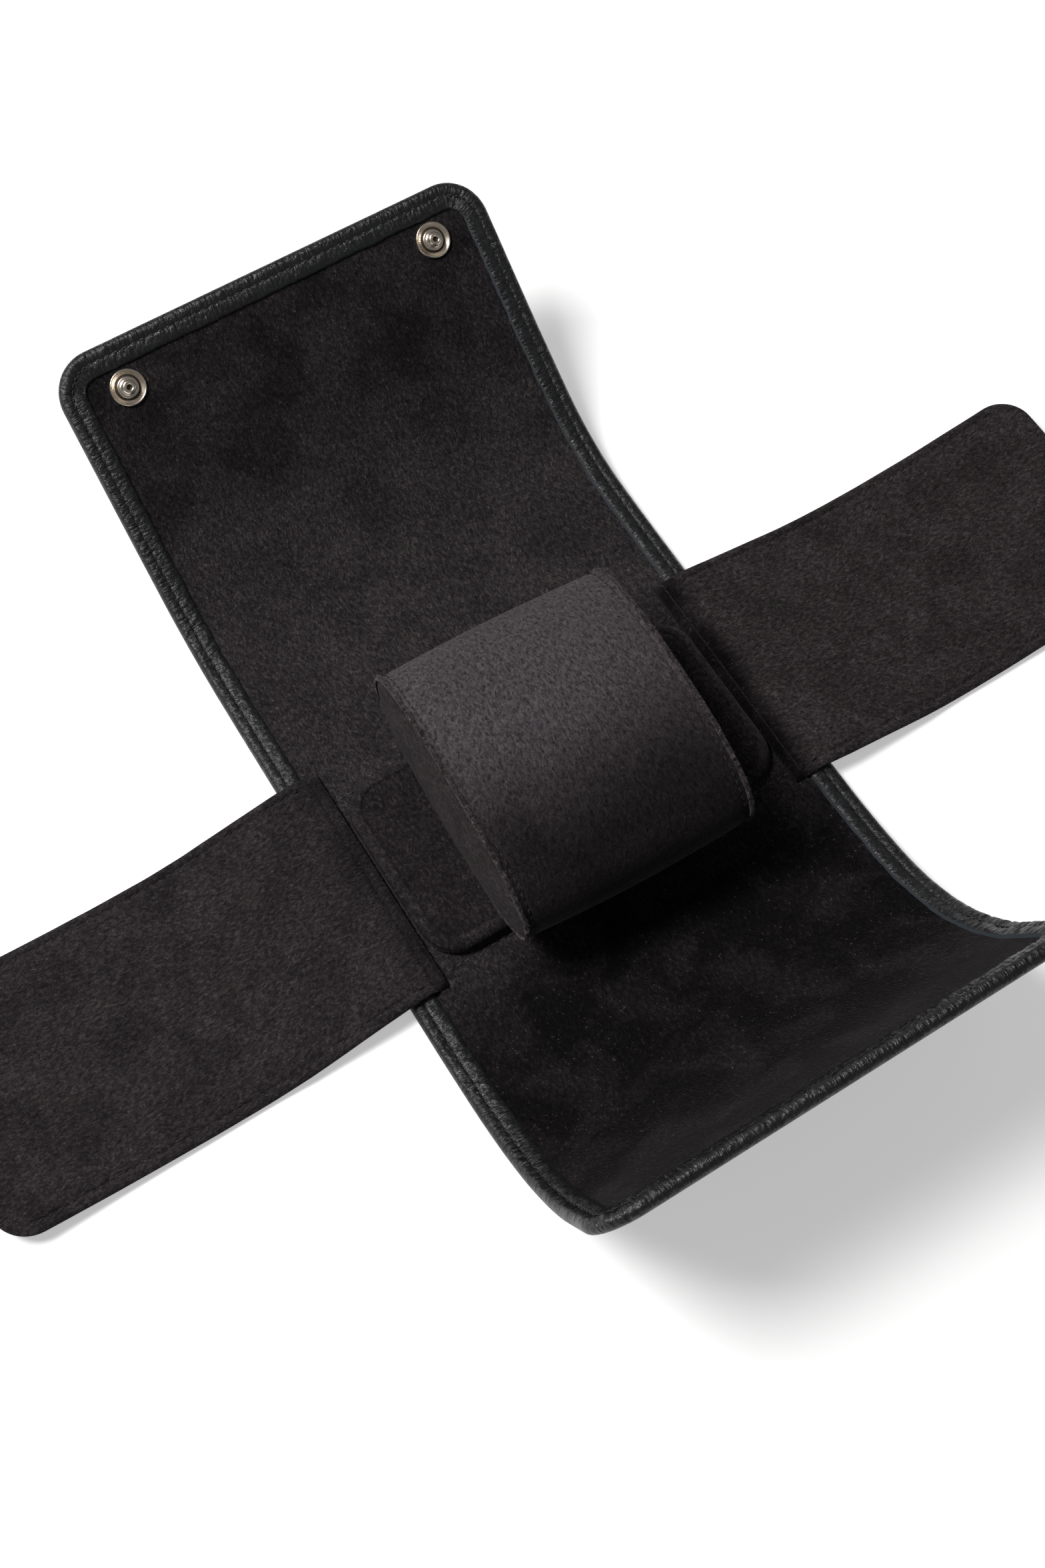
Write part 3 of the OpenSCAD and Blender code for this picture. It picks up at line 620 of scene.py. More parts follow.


# Painted shade: the lining is darkened from the near end of the base over the whole near flap, and towards
# the far flap's curled end.
lining_suede = microsuede("lining_microsuede", suede_deep, linear("#2c292a"), linear("#494546"),
                          brushed_mm=16, tips_share=0.42, halo=0.1,
                          darker=((-22, -48, 0.75), (90, 120, 0.4)))
strip_pieces("lining", sew(lining_patches(1) + lining_patches(-1)), [lining_suede], ["lining"])


# The stiffener. Grey fibreboard between leather and lining, in the base, the walls and the tops. It stops
# short of each fold and leaves the shoulders soft, so that the strip can bend there.
board_in, board_gap, board_clear = 2.2, 9.0, 0.05
board_half_w = half_w - board_in - corner_r * 0.3
boards = [
    ("base", -near_root + 1, far_root - 1),
    ("far_wall", far_root + board_gap, far_root + far_wall - board_gap),
    ("far_top", far_root + far_wall + shoulder_len + board_gap, far_end - board_in),
    ("near_wall", -near_root - near_wall + board_gap, -near_root - board_gap),
    ("near_top", near_end + board_in, -near_root - near_wall - shoulder_len - board_gap),
]


def fibreboard():
    """Pressed fibreboard: matt brown-grey, in specks of about half a millimetre."""
    speck_mm = 5 / 9
    material = start_material("fibreboard")
    place = add(material, "TexCoord", {})
    speckle = add(material, "TexNoise", {"Vector": place.outputs["Object"], "Scale": 1000 / speck_mm,
                                         "Detail": 3})
    colour = add(material, "Mix", {0: speckle, 6: linear("#6b5b48"), 7: linear("#a08c70")},
                 data_type="RGBA")
    shader = add(material, "BsdfPrincipled", {"Base Color": colour, "Roughness": 0.9})
    add(material, "OutputMaterial", {"Surface": shader})
    return material


def settle(piece, body, slot, *nodes):
    """Fixes a piece to one body, in place of the nodes that it stands for. The slot is not used."""
    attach(piece, body)
    if nodes:
        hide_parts(*nodes)


def refinish(node, material):
    """Gives a plain piece that stays, out of sight, its real finish."""
    finishes = frame["nodes"][node].data.materials
    finishes.clear()
    finishes.append(material)


board_material = fibreboard()
for body, low, high in boards:
    across, along = np.meshgrid([board_half_w, 0, -board_half_w], rows_between(np.array([low, high]), 3.0))
    low_face = on_strip(across, along, leather_t + board_clear)
    high_face = on_strip(across, along, board_top - board_clear)
    shell = [patch(high_face, (across, along), along), patch(low_face, (across, along), along, flip=True)]
    for edge in (np.s_[:, 0], np.s_[:, -1], np.s_[0, :], np.s_[-1, :]):
        walls = np.stack([high_face[edge], low_face[edge]])
        shell.append(patch(walls, (across[edge], along[edge]), along[edge],
                           flip=edge in (np.s_[:, 0], np.s_[-1, :])))
    settle(mesh_piece(f"stiffener_{body}", sew(shell), [board_material]), body, "board", f"{body}_board")


# The strip's thread. Waxed polyester sews the turned edge down all round, in a lockstitch of 2.4 mm, and
# two rows cross the base. Each stitch sits in its own dent.
def waxed_thread(name, colour, roughness):
    """Waxed polyester thread with a slight shine. Its plies show as slanting ribs 0.35 mm apart: a wave
    pattern repeats after a tenth of pi over its scale."""
    material = start_material(name)
    flat = add(material, "UVMap", {}, uv_map="flat")
    turned = add(material, "Mapping", {"Vector": flat, "Rotation": (0, 0, 0.7)})
    plies = add(material, "TexWave", {"Vector": turned, "Scale": 900, "Distortion": 1})
    bump = add(material, "Bump", {"Height": plies.outputs["Fac"], "Strength": 0.6, "Distance": 0.00008})
    shader = add(material, "BsdfPrincipled", {"Base Color": colour, "Roughness": roughness,
                                              "Normal": bump})
    add(material, "OutputMaterial", {"Surface": shader})
    return material


def capsules(count, length, width, height, sink, rings=7, sides=7):
    """Stitches as arched capsules: places along, across and up from the middle of each, as arrays of
    [stitch, ring, side], and the faces that join them."""
    turn = np.linspace(0, np.pi, rings)[None, :, None]
    girth = np.linspace(0, 2 * np.pi, sides)[None, None, :]
    thick = np.sin(turn) ** 0.6
    along = -np.cos(turn) * length / 2 + 0 * girth
    across = thick * np.cos(girth) * width / 2
    up = thick * np.sin(girth) * height / 2 + sink * (np.sin(turn) - 1) + height / 2
    return along, across, up, quads_of(rings, sides, count)


def rim_stitches(side, grid, place, marks, inset, top, size, sink):
    """A row of stitches at an inset from a rim, in the sheet's own coordinates."""
    u, v, inward_u, inward_v, run = grid
    along, across, up, faces = capsules(len(marks), *size, sink)
    at = marks[:, None, None] + along
    where_u, where_v, to_u, to_v = (np.interp(at, run, q) for q in (u, v, inward_u, inward_v))
    inwards = inset + across
    x, y = where_u + to_u * inwards, side * (where_v + to_v * inwards)
    return patch(place(x, y, top + up), (at, inwards), y, quads=faces, flip=side > 0)


thread_black = waxed_thread("waxed_black_thread", linear("#121415"), 0.42)
# Length, width and height of a stitch, how far its ends dip, and the level that it lies at
edge_stitch, edge_dip, edge_level = (1.75, 0.5, 0.34), 0.28, edge_top - 0.3
row_stitch, row_dip, row_level = (1.7, 0.42, 0.3), 0.3, lining_top - 0.22
sewn = []
for side in (1, -1):
    edge = end_grid(side, 0.6)[2]
    marks = np.arange(stitch_pitch / 2, edge[4][-1], stitch_pitch)
    sewn.append(rim_stitches(side, edge, on_strip, marks, stitch_in, edge_level, edge_stitch, edge_dip))
strip_pieces("sewing", sew(sewn), [thread_black], ["thread"])

thread_grey = waxed_thread("base_sewing_thread", linear("#2c2b2c"), 0.5)
row_end_gap = 3
row_half = joints["right_flap_fold"][0] - row_end_gap
row_marks = np.arange(-row_half, row_half, stitch_pitch)
rows_sewn = []
for row in sewing_rows:
    along, across, up, faces = capsules(len(row_marks), *row_stitch, row_dip)
    x, y = row_marks[:, None, None] + along, row + across
    rows_sewn.append(patch(on_strip(x, y + 0 * x, row_level + up), (x, y), y, quads=faces))
settle(mesh_piece("base_sewing", sew(rows_sewn), [thread_grey]), "base", "thread")


# The press studs. Nickel-plated brass snaps: on the far flap's lining each has a flange with a rolled rim,
# a dished face and a waisted knob with a ring on its head. The near flap's outside carries their sockets.
stud_d, stud_h = 9.2, 2.89
socket_d, socket_h = 9.8, 2.39
stud_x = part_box("far_studs")[1][0] * 1000 - stud_d / 2
# The sockets lie where the studs come down on the near flap when the roll is closed
stud_in = 12
stud_v, socket_v = far_end - stud_in, -122.58


def turned(profile, sides=72):
    """Lathe: a profile of radius and height, carried round the axis."""
    around = np.linspace(0, 2 * np.pi, sides + 1)[:, None]
    r, h = profile[:, 0], profile[:, 1]
    return joined(r * np.cos(around), r * np.sin(around), h)


def smooth_profile(points, step=0.06, rounds=3):
    """Rounds a profile's corners: equal steps along it, then each point replaced a few times by the mean of
    itself and its neighbours. The two ends stay."""
    p = np.array(points, float)
    run = run_along(*p.T)
    at = np.linspace(0, run[-1], int(run[-1] / step))
    line = np.stack([np.interp(at, run, p[:, 0]), np.interp(at, run, p[:, 1])], axis=-1)
    for _ in range(rounds):
        line[1:-1] = (line[:-2] + line[1:-1] + line[2:]) / 3
    return line


def set_on_strip(shape, u, v, depth, outward):
    """Stands a lathe shape on the strip at u, v and a depth, with its axis along the normal."""
    foot = on_strip(u, v, depth)
    turn = slope(v)
    normal = outward * np.array([0, -np.sin(turn), np.cos(turn)])
    side = np.array([1.0, 0, 0])
    other = np.cross(normal, side)
    return foot + shape[..., :1] * side + shape[..., 1:2] * other + shape[..., 2:] * normal


def nickel(name, hollow, groove):
    """Brass stamped and plated with bright nickel: warm white metal with a faint haze left by the stamping.
    Inside a hollow and along a groove, given as radii in millimetres, it is rougher and painted dark brown
    as painted shade."""
    haze_mm = 10 / 9
    material = start_material(name)
    flat = add(material, "UVMap", {}, uv_map="flat")
    place = add(material, "TexCoord", {})
    haze = add(material, "TexNoise", {"Vector": place.outputs["Object"], "Scale": 1000 / haze_mm,
                                      "Detail": 4})
    radius = add(material, "SeparateXYZ", {0: flat})
    inner = add(material, "MapRange", {"Value": radius, "From Min": hollow / 1000,
                                       "From Max": (hollow - 0.25) / 1000})
    away = add(material, "Math", {0: radius, 1: groove / 1000}, operation="SUBTRACT")
    away = add(material, "Math", {0: away}, operation="ABSOLUTE")
    ring = add(material, "MapRange", {"Value": away, "From Min": 0.45 / 1000, "From Max": 0.2 / 1000})
    painted_shade_and_rough_hollows = add(material, "Math", {0: inner, 1: ring}, use_clamp=True)
    # Painted shade: the hollow and the groove are coloured dark brown.
    colour = add(material, "Mix", {0: painted_shade_and_rough_hollows, 6: linear("#e4d9ca"), 7: linear("#4a4038")},
                 data_type="RGBA")
    rough = add(material, "MapRange", {"Value": haze, "To Min": 0.22, "To Max": 0.32})
    rough = add(material, "Math", {0: painted_shade_and_rough_hollows, 1: 0.25, 2: rough},
                operation="MULTIPLY_ADD")
    bump = add(material, "Bump", {"Height": haze, "Strength": 0.05, "Distance": 0.0001})
    shader = add(material, "BsdfPrincipled", {
        "Base Color": colour, "Metallic": 1.0, "Roughness": rough,
        "Normal": bump})
    add(material, "OutputMaterial", {"Surface": shader})
    return material


stud_profile = smooth_profile([
    [0, stud_h - 0.95], [0.4, stud_h - 0.9], [0.6, stud_h - 0.45], [0.8, stud_h - 0.12], [1.1, stud_h],
    [1.4, stud_h - 0.08], [1.72, stud_h - 0.4], [1.85, stud_h - 0.8], [1.7, 1.4], [1.72, 1.0], [2.1, 0.78],
    [2.5, 0.72], [2.68, 0.55], [2.75, 0.28], [3.1, 0.2], [3.3, 0.24], [3.6, 0.38], [3.9, 0.58],
    [4.15, 0.78], [4.35, 0.84], [4.52, 0.66], [stud_d / 2, 0.36], [4.52, 0.08], [4.3, 0.0], [0, 0.02]],
    rounds=2)
socket_profile = smooth_profile([
    [0, 0.4], [1.6, 0.4], [2.15, 0.45], [2.2, 0.8], [2.2, 1.6], [2.3, socket_h - 0.25],
    [2.5, socket_h - 0.05], [2.9, socket_h], [3.3, socket_h - 0.15], [3.42, socket_h - 0.5], [3.5, 1.5],
    [3.9, 1.36], [4.3, 1.15], [4.75, 0.75], [socket_d / 2, 0.4], [4.8, 0.1], [4.6, 0.0], [0, 0.02]])
stud_metal = nickel("nickel_stud", 0.72, 2.95)
socket_metal = nickel("nickel_socket", 2.25, 3.5)
for name, body, node, v, depth, outward, profile, metal in (
        ("press_studs", "far_top", "far_studs", stud_v, lining_top, 1, stud_profile, stud_metal),
        ("press_stud_sockets", "near_top", "near_sockets", socket_v, 0, -1, socket_profile, socket_metal)):
    lathes = []
    for u in (-stud_x, stud_x):
        shape = set_on_strip(turned(profile), u, v, depth, outward)
        lathes.append(patch(shape, (profile[:, 0], profile[:, 1]), v, flip=True))
    settle(mesh_piece(name, sew(lathes), [metal]), body, "nickel", node)
refinish("far_stud_backs", stud_metal)
refinish("near_socket_backs", stud_metal)


# The side flaps. Two layers of microsuede, glued back to back and sewn round their edge 2.6 mm in. Each is
# sewn to the lining beside the pad, where a soft ridge and a sharp valley crease show, and lies out over
# the strip's edge.
side_half, side_len, side_r = 32, 111, 9
side_sew_in = 2.6
suede_t = 0.9
side_root = joints["right_flap_fold"][0]
side_axis_z = joints["right_flap_fold"][2]
side_walls = {-1: 39.3, 1: 43.4}
side_curl = np.array([[0, 0], [0.08, 0], [0.126, -6.5], [0.36, -6.5], [0.45, 0], [0.63, 2], [1, 8]])
side_bow_at = [0, 12, 35, 60, 111]
side_bow = {-1: [-0.5, -1.4, -2.5, -2.7, -2.5], 1: [-0.5, -1.5, -2.2, -2.0, -0.9]}
# The root, in heights from the middle layer: the tape on the lining, the ridge on it, and the valley crease
tape_len, tape_z = 3.2, -2.5
ridge_s, ridge_reach, ridge_h = -1.75, 1.45, 2.35
crease_s, crease_z = -0.35, -1.7
side_track = np.linspace(-tape_len, side_len, 3001)


def side_slope(s):
    """Slope of a side flap at s from its root seam, in radians."""
    return np.radians(np.interp(s, side_curl[:, 0] * side_len, side_curl[:, 1]))


side_x = summed(np.cos(side_slope(side_track)), side_track, 0)
side_z = summed(np.sin(side_slope(side_track)), side_track, 0)


def on_side(side, across, s, rise):
    """Point of a side flap: across along the roll, s out from its root, risen from its middle layer. The
    flap bows a little towards the near end."""
    turn = side_slope(s)
    across = across + np.interp(s, side_bow_at, side_bow[side])
    x = side_root + np.interp(s, side_track, side_x) - rise * np.sin(turn)
    z = side_axis_z + np.interp(s, side_track, side_z) + rise * np.cos(turn)
    return joined(side * x, across, z)


def side_faces(inset, s, across, side):
    """Heights of the upper and lower face over the middle: rounded at the edge, puffed up to the sewing and
    pulled down in it. Towards the root the upper one goes down into the valley crease, then over the ridge
    and onto the lining."""
    rounded = suede_t * np.sqrt(1 - (1 - np.clip(inset / suede_t, 0, 1)) ** 2)
    wave = 0.12 * unevenness(across, s, 12, 15, 51 + side) + 0.05 * unevenness(across, s, 4, 5, 53 + side)
    wave = wave * np.clip((s - 2) / 8, 0, 1)
    puff = 0.14 * hump(inset, 1.3, 0.8) - 0.42 * hump(inset, side_sew_in, 0.45) + 0.1 * hump(inset, 4.3, 1.2)
    puff = puff * np.clip(inset / 0.8, 0, 1) * np.clip((s - 1) / 3, 0, 1)
    climb = np.clip((s - crease_s) / 5.5, 0, 1) ** 0.6
    raised = crease_z + (rounded + puff - crease_z) * climb
    round_end = np.clip(inset / 1.5, 0, 1) ** 0.5
    ridge = tape_z + ridge_h * np.sqrt(np.clip(1 - ((s - ridge_s) / ridge_reach) ** 2, 0, 1)) * round_end
    upper = np.where(s > crease_s, raised, np.maximum(ridge, tape_z))
    sunk = np.clip((1.2 - s) / 1.2, 0, 1)
    lower = np.minimum(-rounded * (1 - sunk) + tape_z * sunk, upper)
    return upper + wave, lower + wave


def side_patches(side):
    """Upper and lower face of one side flap, joined along their edge, and the two ends where it is cut."""
    cut, root_end = side_walls[side] / 2, 6
    rows = np.concatenate([np.linspace(-tape_len, root_end, 47)[:-1],
                           rows_between(np.array([root_end, cut, side_len - side_r]), 0.75)])
    columns = np.linspace(side_half - side_r, side_r - side_half, 70)
    inset = np.array([0, 0.05, 0.15, 0.3, 0.5, 0.75, 1.1, 1.5, 1.9, 2.2, 2.4, 2.6, 2.8, 3.0, 3.4, 4.1, 5,
                      6.2, 7.6, side_r])
    edge = rim(side_half, side_len, side_r, rows, columns)
    inner = np.broadcast_arrays(columns[None, :], rows[:, None])
    made = []
    for across, s, from_edge in ((*drawn_in(edge, inset), inset), (*inner, side_r)):
        upper, lower = (on_side(side, across, s, z) for z in side_faces(from_edge, s, across, side))
        made.append(patch(upper, (across, s), s, flip=side < 0))
        made.append(patch(lower, (across, s), s, flip=side > 0))
        for row in np.flatnonzero(np.isclose(s, cut).all(axis=1)):
            end = np.stack([upper[row], lower[row]])
            flat = (across[row], s[row])
            made.append(patch(end, flat, cut - 0.01))
            made.append(patch(end, flat, cut + 0.01, flip=True))
    return made


side_fold_reach = (0.3, 9)
side_names = {-1: "left", 1: "right"}
# The nap's two lighter tones, and the painted shade that darkens each flap towards its root
side_tones_and_painted_shade = {-1: ("#2a2728", "#443f40", ((1.2, -0.2, 0.35),)),
            1: ("#2e2a2b", "#4a4546", ((5.5, -0.5, 0.75),))}


def side_pieces(name, side, surface, material, nodes_of):
    """One layer of a side flap, cut half way up its wall into a root piece and an end piece."""
    hand, wall = side_names[side], side_walls[side]
    stretches = [("root", -99, wall / 2, 0, "base", f"{hand}_wall", side_fold_reach),
                 ("end", wall / 2, 999, wall, f"{hand}_wall", f"{hand}_top", bend_reach)]

    def line_at(s):
        """Point of the flap's line at s, and the step from it to the point a millimetre on."""
        place = on_side(side, 0, s, 0)
        return place, on_side(side, 0, s + 1, 0) - place

    return bent_pieces(f"{hand}_{name}", surface, [material], stretches, line_at, nodes_of)


for side, hand in side_names.items():
    mid, light, darker = side_tones_and_painted_shade[side]
    flap_suede = microsuede(f"{hand}_flap_microsuede", suede_deep, linear(mid), linear(light), brushed_mm=12,
                            darker=darker)

    def suede_nodes(inner, outer):
        """Both suede layers on the two bodies, and the tape at the root."""
        layers = [f"{body}_{layer}_suede" for body in (inner, outer) for layer in ("upper", "lower")]
        return [*layers, f"{hand}_root_tape"]

    root, end = side_pieces("flap", side, sew(side_patches(side)), flap_suede, suede_nodes)

flap_thread = waxed_thread("flap_sewing_thread", linear("#100f0f"), 0.6)
flap_stitch, flap_dip, flap_level = (1.6, 0.4, 0.3), 0.3, suede_t - 0.48
for side in side_names:
    rows = rows_between(np.array([1.0, side_len - side_r]), 1)
    columns = np.linspace(side_half - side_r, side_r - side_half, 60)
    edge = rim(side_half, side_len, side_r, rows, columns)
    marks = np.arange(3.0, edge[4][-1] - 2, stitch_pitch)
    row = rim_stitches(1, edge, lambda x, y, z: on_side(side, x, y, z), marks, side_sew_in, flap_level,
                       flap_stitch, flap_dip)
    row["quads"] = row["quads"][:, ::-1] if side < 0 else row["quads"]
    side_pieces("flap_sewing", side, sew([row]), flap_thread,
                lambda inner, outer: [f"{body}_thread" for body in (inner, outer) if body != "base"])


# The pad. Microsuede drawn over foam and a small stiff board, and sewn down under the pillow. Its top edge
# is rounded, and its middle is pressed in a little where the pillow stands.
pad_low, pad_high = (np.array(corner) * 1000 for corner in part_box("pad_cover"))
pad_half_w, pad_half_l = (pad_high[0] - pad_low[0]) / 2, (pad_high[1] - pad_low[1]) / 2
pad_y = (pad_high[1] + pad_low[1]) / 2
pad_h = pad_high[2] - pad_low[2]
pad_corner, pad_round, pad_foot, pad_sunk = 10, 2.6, 1.3, 0.2
pad_seam_in, pad_puff_in = 3.6, 2.4


def pad_patches():
    """The pad in rings from its foot inwards: a short wall, a quarter circle over the edge, and a flat top
    with a seam sunk in it near the rim. The wall has a darker finish, as painted shade, and the rim a
    lighter one, as a painted highlight."""
    rows = np.linspace(0, pad_half_l - pad_corner, 18)
    columns = np.linspace(pad_half_w - pad_corner, pad_corner - pad_half_w, 90)
    edge = rim(pad_half_w, pad_half_l, pad_corner, rows, columns, 24)
    turn = np.radians(np.linspace(0, 90, 9))
    inset = np.concatenate([[0.5, 0.15, 0.0], pad_round * (1 - np.cos(turn))[1:],
                            [3.0, 3.3, 3.6, 3.9, 4.3, 5, 6.5, 8.2, pad_corner]])
    wall = [0, 0.5, pad_foot]
    rise = np.concatenate([wall, pad_foot + (pad_h - pad_foot) * np.sin(turn)[1:], [pad_h] * 9])
    puff = 0.15 * hump(inset, pad_puff_in, 0.6) * (rise > pad_foot + 0.2)
    rise = rise - 0.4 * hump(inset, pad_seam_in, 0.45) + puff
    made = []
    for side in (1, -1):
        across, along = drawn_in(edge, inset, side)
        inner = np.broadcast_arrays(columns[None, :], side * rows[:, None])
        rings = [(across[:, a:b], along[:, a:b], rise[a:b], finish)
                 for a, b, finish in ((0, 6, 1), (5, 12, 2), (11, None, 0))]
        for x, y, z, finish in rings + [(*inner, pad_h, 0)]:
            lump = 0.25 * unevenness(x, y, 9, 7, 61) * np.clip(z / pad_h, 0, 1) ** 3
            points = joined(x, pad_y + y, pad_low[2] + z + lump - pad_sunk)
            made.append(patch(points, (x, y + 0 * x), y, finish, flip=side < 0))
    return made


pad_suede = microsuede("pad_microsuede", linear("#110f10"), linear("#201d1e"), linear("#383435"),
                       brushed_mm=9)
# Painted shade: the wall is a darker copy of the pad's microsuede. Painted highlight: the rim is a lighter
# copy.
pad_wall_painted_shade_suede = microsuede("pad_wall_microsuede", linear("#0a0909"), linear("#141213"), linear("#242122"))
pad_rim_painted_light_suede = microsuede("pad_rim_microsuede", linear("#151314"), linear("#272425"), linear("#423e3f"),
                           brushed_mm=9)
pad = mesh_piece("pad_cover_suede", sew(pad_patches()), [pad_suede, pad_wall_painted_shade_suede, pad_rim_painted_light_suede])
settle(pad, "base", "microsuede", "pad_cover", "pad_foam")
refinish("pad_board", board_material)


# The pillow. A foam block in a microsuede cover: a band goes over its top and ends and is sewn to a panel at
# each side, and the foam fills it out. It is loose, and stands on the pad.
band_low, band_high = (np.array(corner) * 1000 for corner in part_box("pillow_band"))
panel_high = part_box("pillow_right_side")[1][0] * 1000
pillow_half_w = (band_high[0] - band_low[0]) / 2
pillow_half_l, pillow_half_h = (band_high[1] - band_low[1]) / 2, (band_high[2] - band_low[2]) / 2
pillow_y, pillow_z = (band_high[1] + band_low[1]) / 2, (band_high[2] + band_low[2]) / 2
pillow_round, pillow_foot, pillow_crown = 2.35, 0.6, 1.3
side_bulge = panel_high - pillow_half_w
seam_in, seam_dent, seam_out, seam_under = 1.6, 0.3, 0.1, 0.2


def pillow_profile(turn, drawn_in):
    """Side view of the pillow, drawn in all round: a superellipse whose foot is cut flat."""
    power = 2 / pillow_round
    cosine, sine = np.cos(turn), np.sin(turn)
    half_h = pillow_half_h + pillow_foot / 2
    y = (pillow_half_l - drawn_in) * np.sign(cosine) * np.abs(cosine) ** power
    z = (half_h - drawn_in) * np.sign(sine) * np.abs(sine) ** power
    return pillow_y + y, pillow_z - pillow_foot / 2 + np.maximum(z, pillow_foot - half_h + 0 * z)


round_turn = np.linspace(0, 2 * np.pi, 2001)
girth = run_along(*pillow_profile(round_turn, pillow_crown))
girth_steps = 200


def turn_at(run):
    """The superellipse's own angle at a distance run round the pillow."""
    return np.interp(run % girth[-1], girth, round_turn)


def crown(x):
    """How far the band is drawn in at x: a parabola towards the seams, and a dent along the sewing."""
    return pillow_crown * (x / pillow_half_w) ** 2 + seam_dent * hump(pillow_half_w - np.abs(x), seam_in, 0.5)


def pillow_patches():
    """The band across the pillow, then each side panel drawn in ring by ring to its middle line."""
    margin = np.array([0, 0.3, 0.7, 1.1, 1.4, 1.6, 1.8, 2.1, 2.6, 3.3])
    edge = pillow_half_w - margin
    x = np.concatenate([-edge, np.linspace(-edge[-1], edge[-1], 41)[1:-1], edge[::-1]])[None, :]
    run = np.linspace(0, girth[-1], girth_steps + 1)[:, None]
    turn = np.where(run == girth[-1], 2 * np.pi, turn_at(run))
    y, z = pillow_profile(turn, crown(x))
    made = [patch(joined(x, y, z), (x, run), 0 * y, flip=True)]
    ring = np.linspace(0, 1, 17)[None, :]
    y, z = pillow_profile(turn, pillow_crown + (pillow_half_h + pillow_foot / 2 - pillow_crown) * ring)
    swell = side_bulge * np.sin(ring * np.pi / 2) ** 0.7
    for side in (1, -1):
        made.append(patch(joined(side * (pillow_half_w + swell), y, z), (z, y), 0 * y, 1, flip=side > 0))
    return made


def corners_of(mesh):
    """Corner places of a mesh, in millimetres."""
    flat = np.empty(len(mesh.vertices) * 3)
    mesh.vertices.foreach_get("co", flat)
    return flat.reshape(-1, 3) * 1000


def swollen(mesh, voxel, pressure, held):
    """Cloth under air pressure for twenty frames, on a copy remeshed in voxels of that size in millimetres
    and made ten times as large, the size the solver is steady at. Held corners stay. Returns the copy's
    corners before, and how far each moved, both at true size."""
    enlarged, frames = 10, 20
    copy = bpy.data.objects.new("copy", mesh.copy())
    bpy.context.scene.collection.objects.link(copy)
    remesh = copy.modifiers.new("voxels", "REMESH")
    remesh.mode, remesh.voxel_size = "VOXEL", voxel / 1000
    bpy.context.view_layer.update()
    voxels = bpy.data.meshes.new_from_object(copy.evaluated_get(bpy.context.evaluated_depsgraph_get()))
    before = corners_of(voxels)
    voxels.vertices.foreach_set("co", (before * enlarged / 1000).ravel())
    bag = bpy.data.objects.new("bag", voxels)
    bpy.context.scene.collection.objects.link(bag)
    bag.vertex_groups.new(name="held").add(np.flatnonzero(held(before)).tolist(), 1.0, "REPLACE")
    cloth = bag.modifiers.new("air", "CLOTH")
    cloth.settings.use_pressure = True
    cloth.settings.uniform_pressure_force = pressure
    cloth.settings.effector_weights.gravity = 0
    cloth.settings.vertex_group_mass = "held"
    cloth.point_cache.frame_start, cloth.point_cache.frame_end = 1, frames
    for number in range(1, frames + 1):
        bpy.context.scene.frame_set(number)
    evaluated = bag.evaluated_get(bpy.context.evaluated_depsgraph_get())
    move = corners_of(evaluated.data) / enlarged - before
    for thing in (copy, bag):
        mesh_used = thing.data
        bpy.data.objects.remove(thing)
        bpy.data.meshes.remove(mesh_used)
    bpy.context.scene.frame_set(1)
    return before, move


def carry_over(points, before, move, reach, most):
    """Moves points as the cloth near them moved: a mean weighted by a bell curve of the distance, with its
    length kept under a limit. Worked out in blocks, to keep the memory small."""
    moved = []
    for block in np.array_split(points, 40):
        near = np.exp(-((block[:, None] - before[None]) ** 2).sum(axis=2) / reach ** 2)
        mean = near @ move / (near.sum(axis=1, keepdims=True) + 1e-9)
        far = np.linalg.norm(mean, axis=1, keepdims=True)
        moved.append(block + mean * np.minimum(1, most / np.maximum(far, 1e-9)))
    return np.concatenate(moved)


def set_corners(mesh, points):
    """Moves a mesh's corners to places in millimetres, and smooths its normals anew."""
    mesh.vertices.foreach_set("co", (points / 1000).ravel())
    mesh.update()
    normals = np.empty(len(mesh.vertices) * 3)
    mesh.vertex_normals.foreach_get("vector", normals)
    mesh.normals_split_custom_set_from_vertices(normals.reshape(-1, 3))


# Painted shade: the band is darkened from the middle of its top over the near end, and the side panels are a
# darker copy of the same microsuede.
pillow_suede = microsuede("pillow_microsuede", linear("#211e1f"), linear("#443f42"), linear("#5b5659"),
                          brushed_mm=30, tips_share=0.2, halo=0.25, darker=((37, 69, 0.82),), patchy=0.16)
pillow_side_painted_shade_suede = microsuede("pillow_side_microsuede", linear("#141213"), linear("#2c2829"), linear("#413e3f"),
                         brushed_mm=9, tips_share=0.2, halo=0.06)
pillow = mesh_piece("pillow_cover_suede", sew(pillow_patches()), [pillow_suede, pillow_side_painted_shade_suede])
def sewn_or_standing(points):
    """Where the cover can't move: in its seams, and on its foot."""
    return (np.abs(np.abs(points[:, 0]) - pillow_half_w) < 1.5) | (points[:, 2] < band_low[2] + 0.8)

before, move = swollen(pillow.data, voxel=2.5, pressure=9.0, held=sewn_or_standing)
filled = carry_over(corners_of(pillow.data), before, move, reach=2.2, most=1.4)
set_corners(pillow.data, filled)
settle(pillow, "pillow", "microsuede", "pillow_band", "pillow_left_side", "pillow_right_side", "pillow_core")


# The pillow's welts. Outside each seam the raw edges of band and panel stand up together as a soft ridge,
# which wanders and is frayed by handling.
welt_rise, welt_half_w = 0.5, 0.62
welt_run = np.linspace(0, girth[-1], 561)[:, None]
welt_turn = np.where(welt_run == girth[-1], 2 * np.pi, turn_at(welt_run))
around = np.linspace(0, 2 * np.pi, 13)[None, :]


def welt_height(run, side):
    """Height of the welt along the seam: its own value, roughened by two sizes of unevenness."""
    return welt_rise * (1 + 0.5 * ripple(run, 3.1, 71 + side) + 0.6 * ripple(run, 0.9, 75 + side))


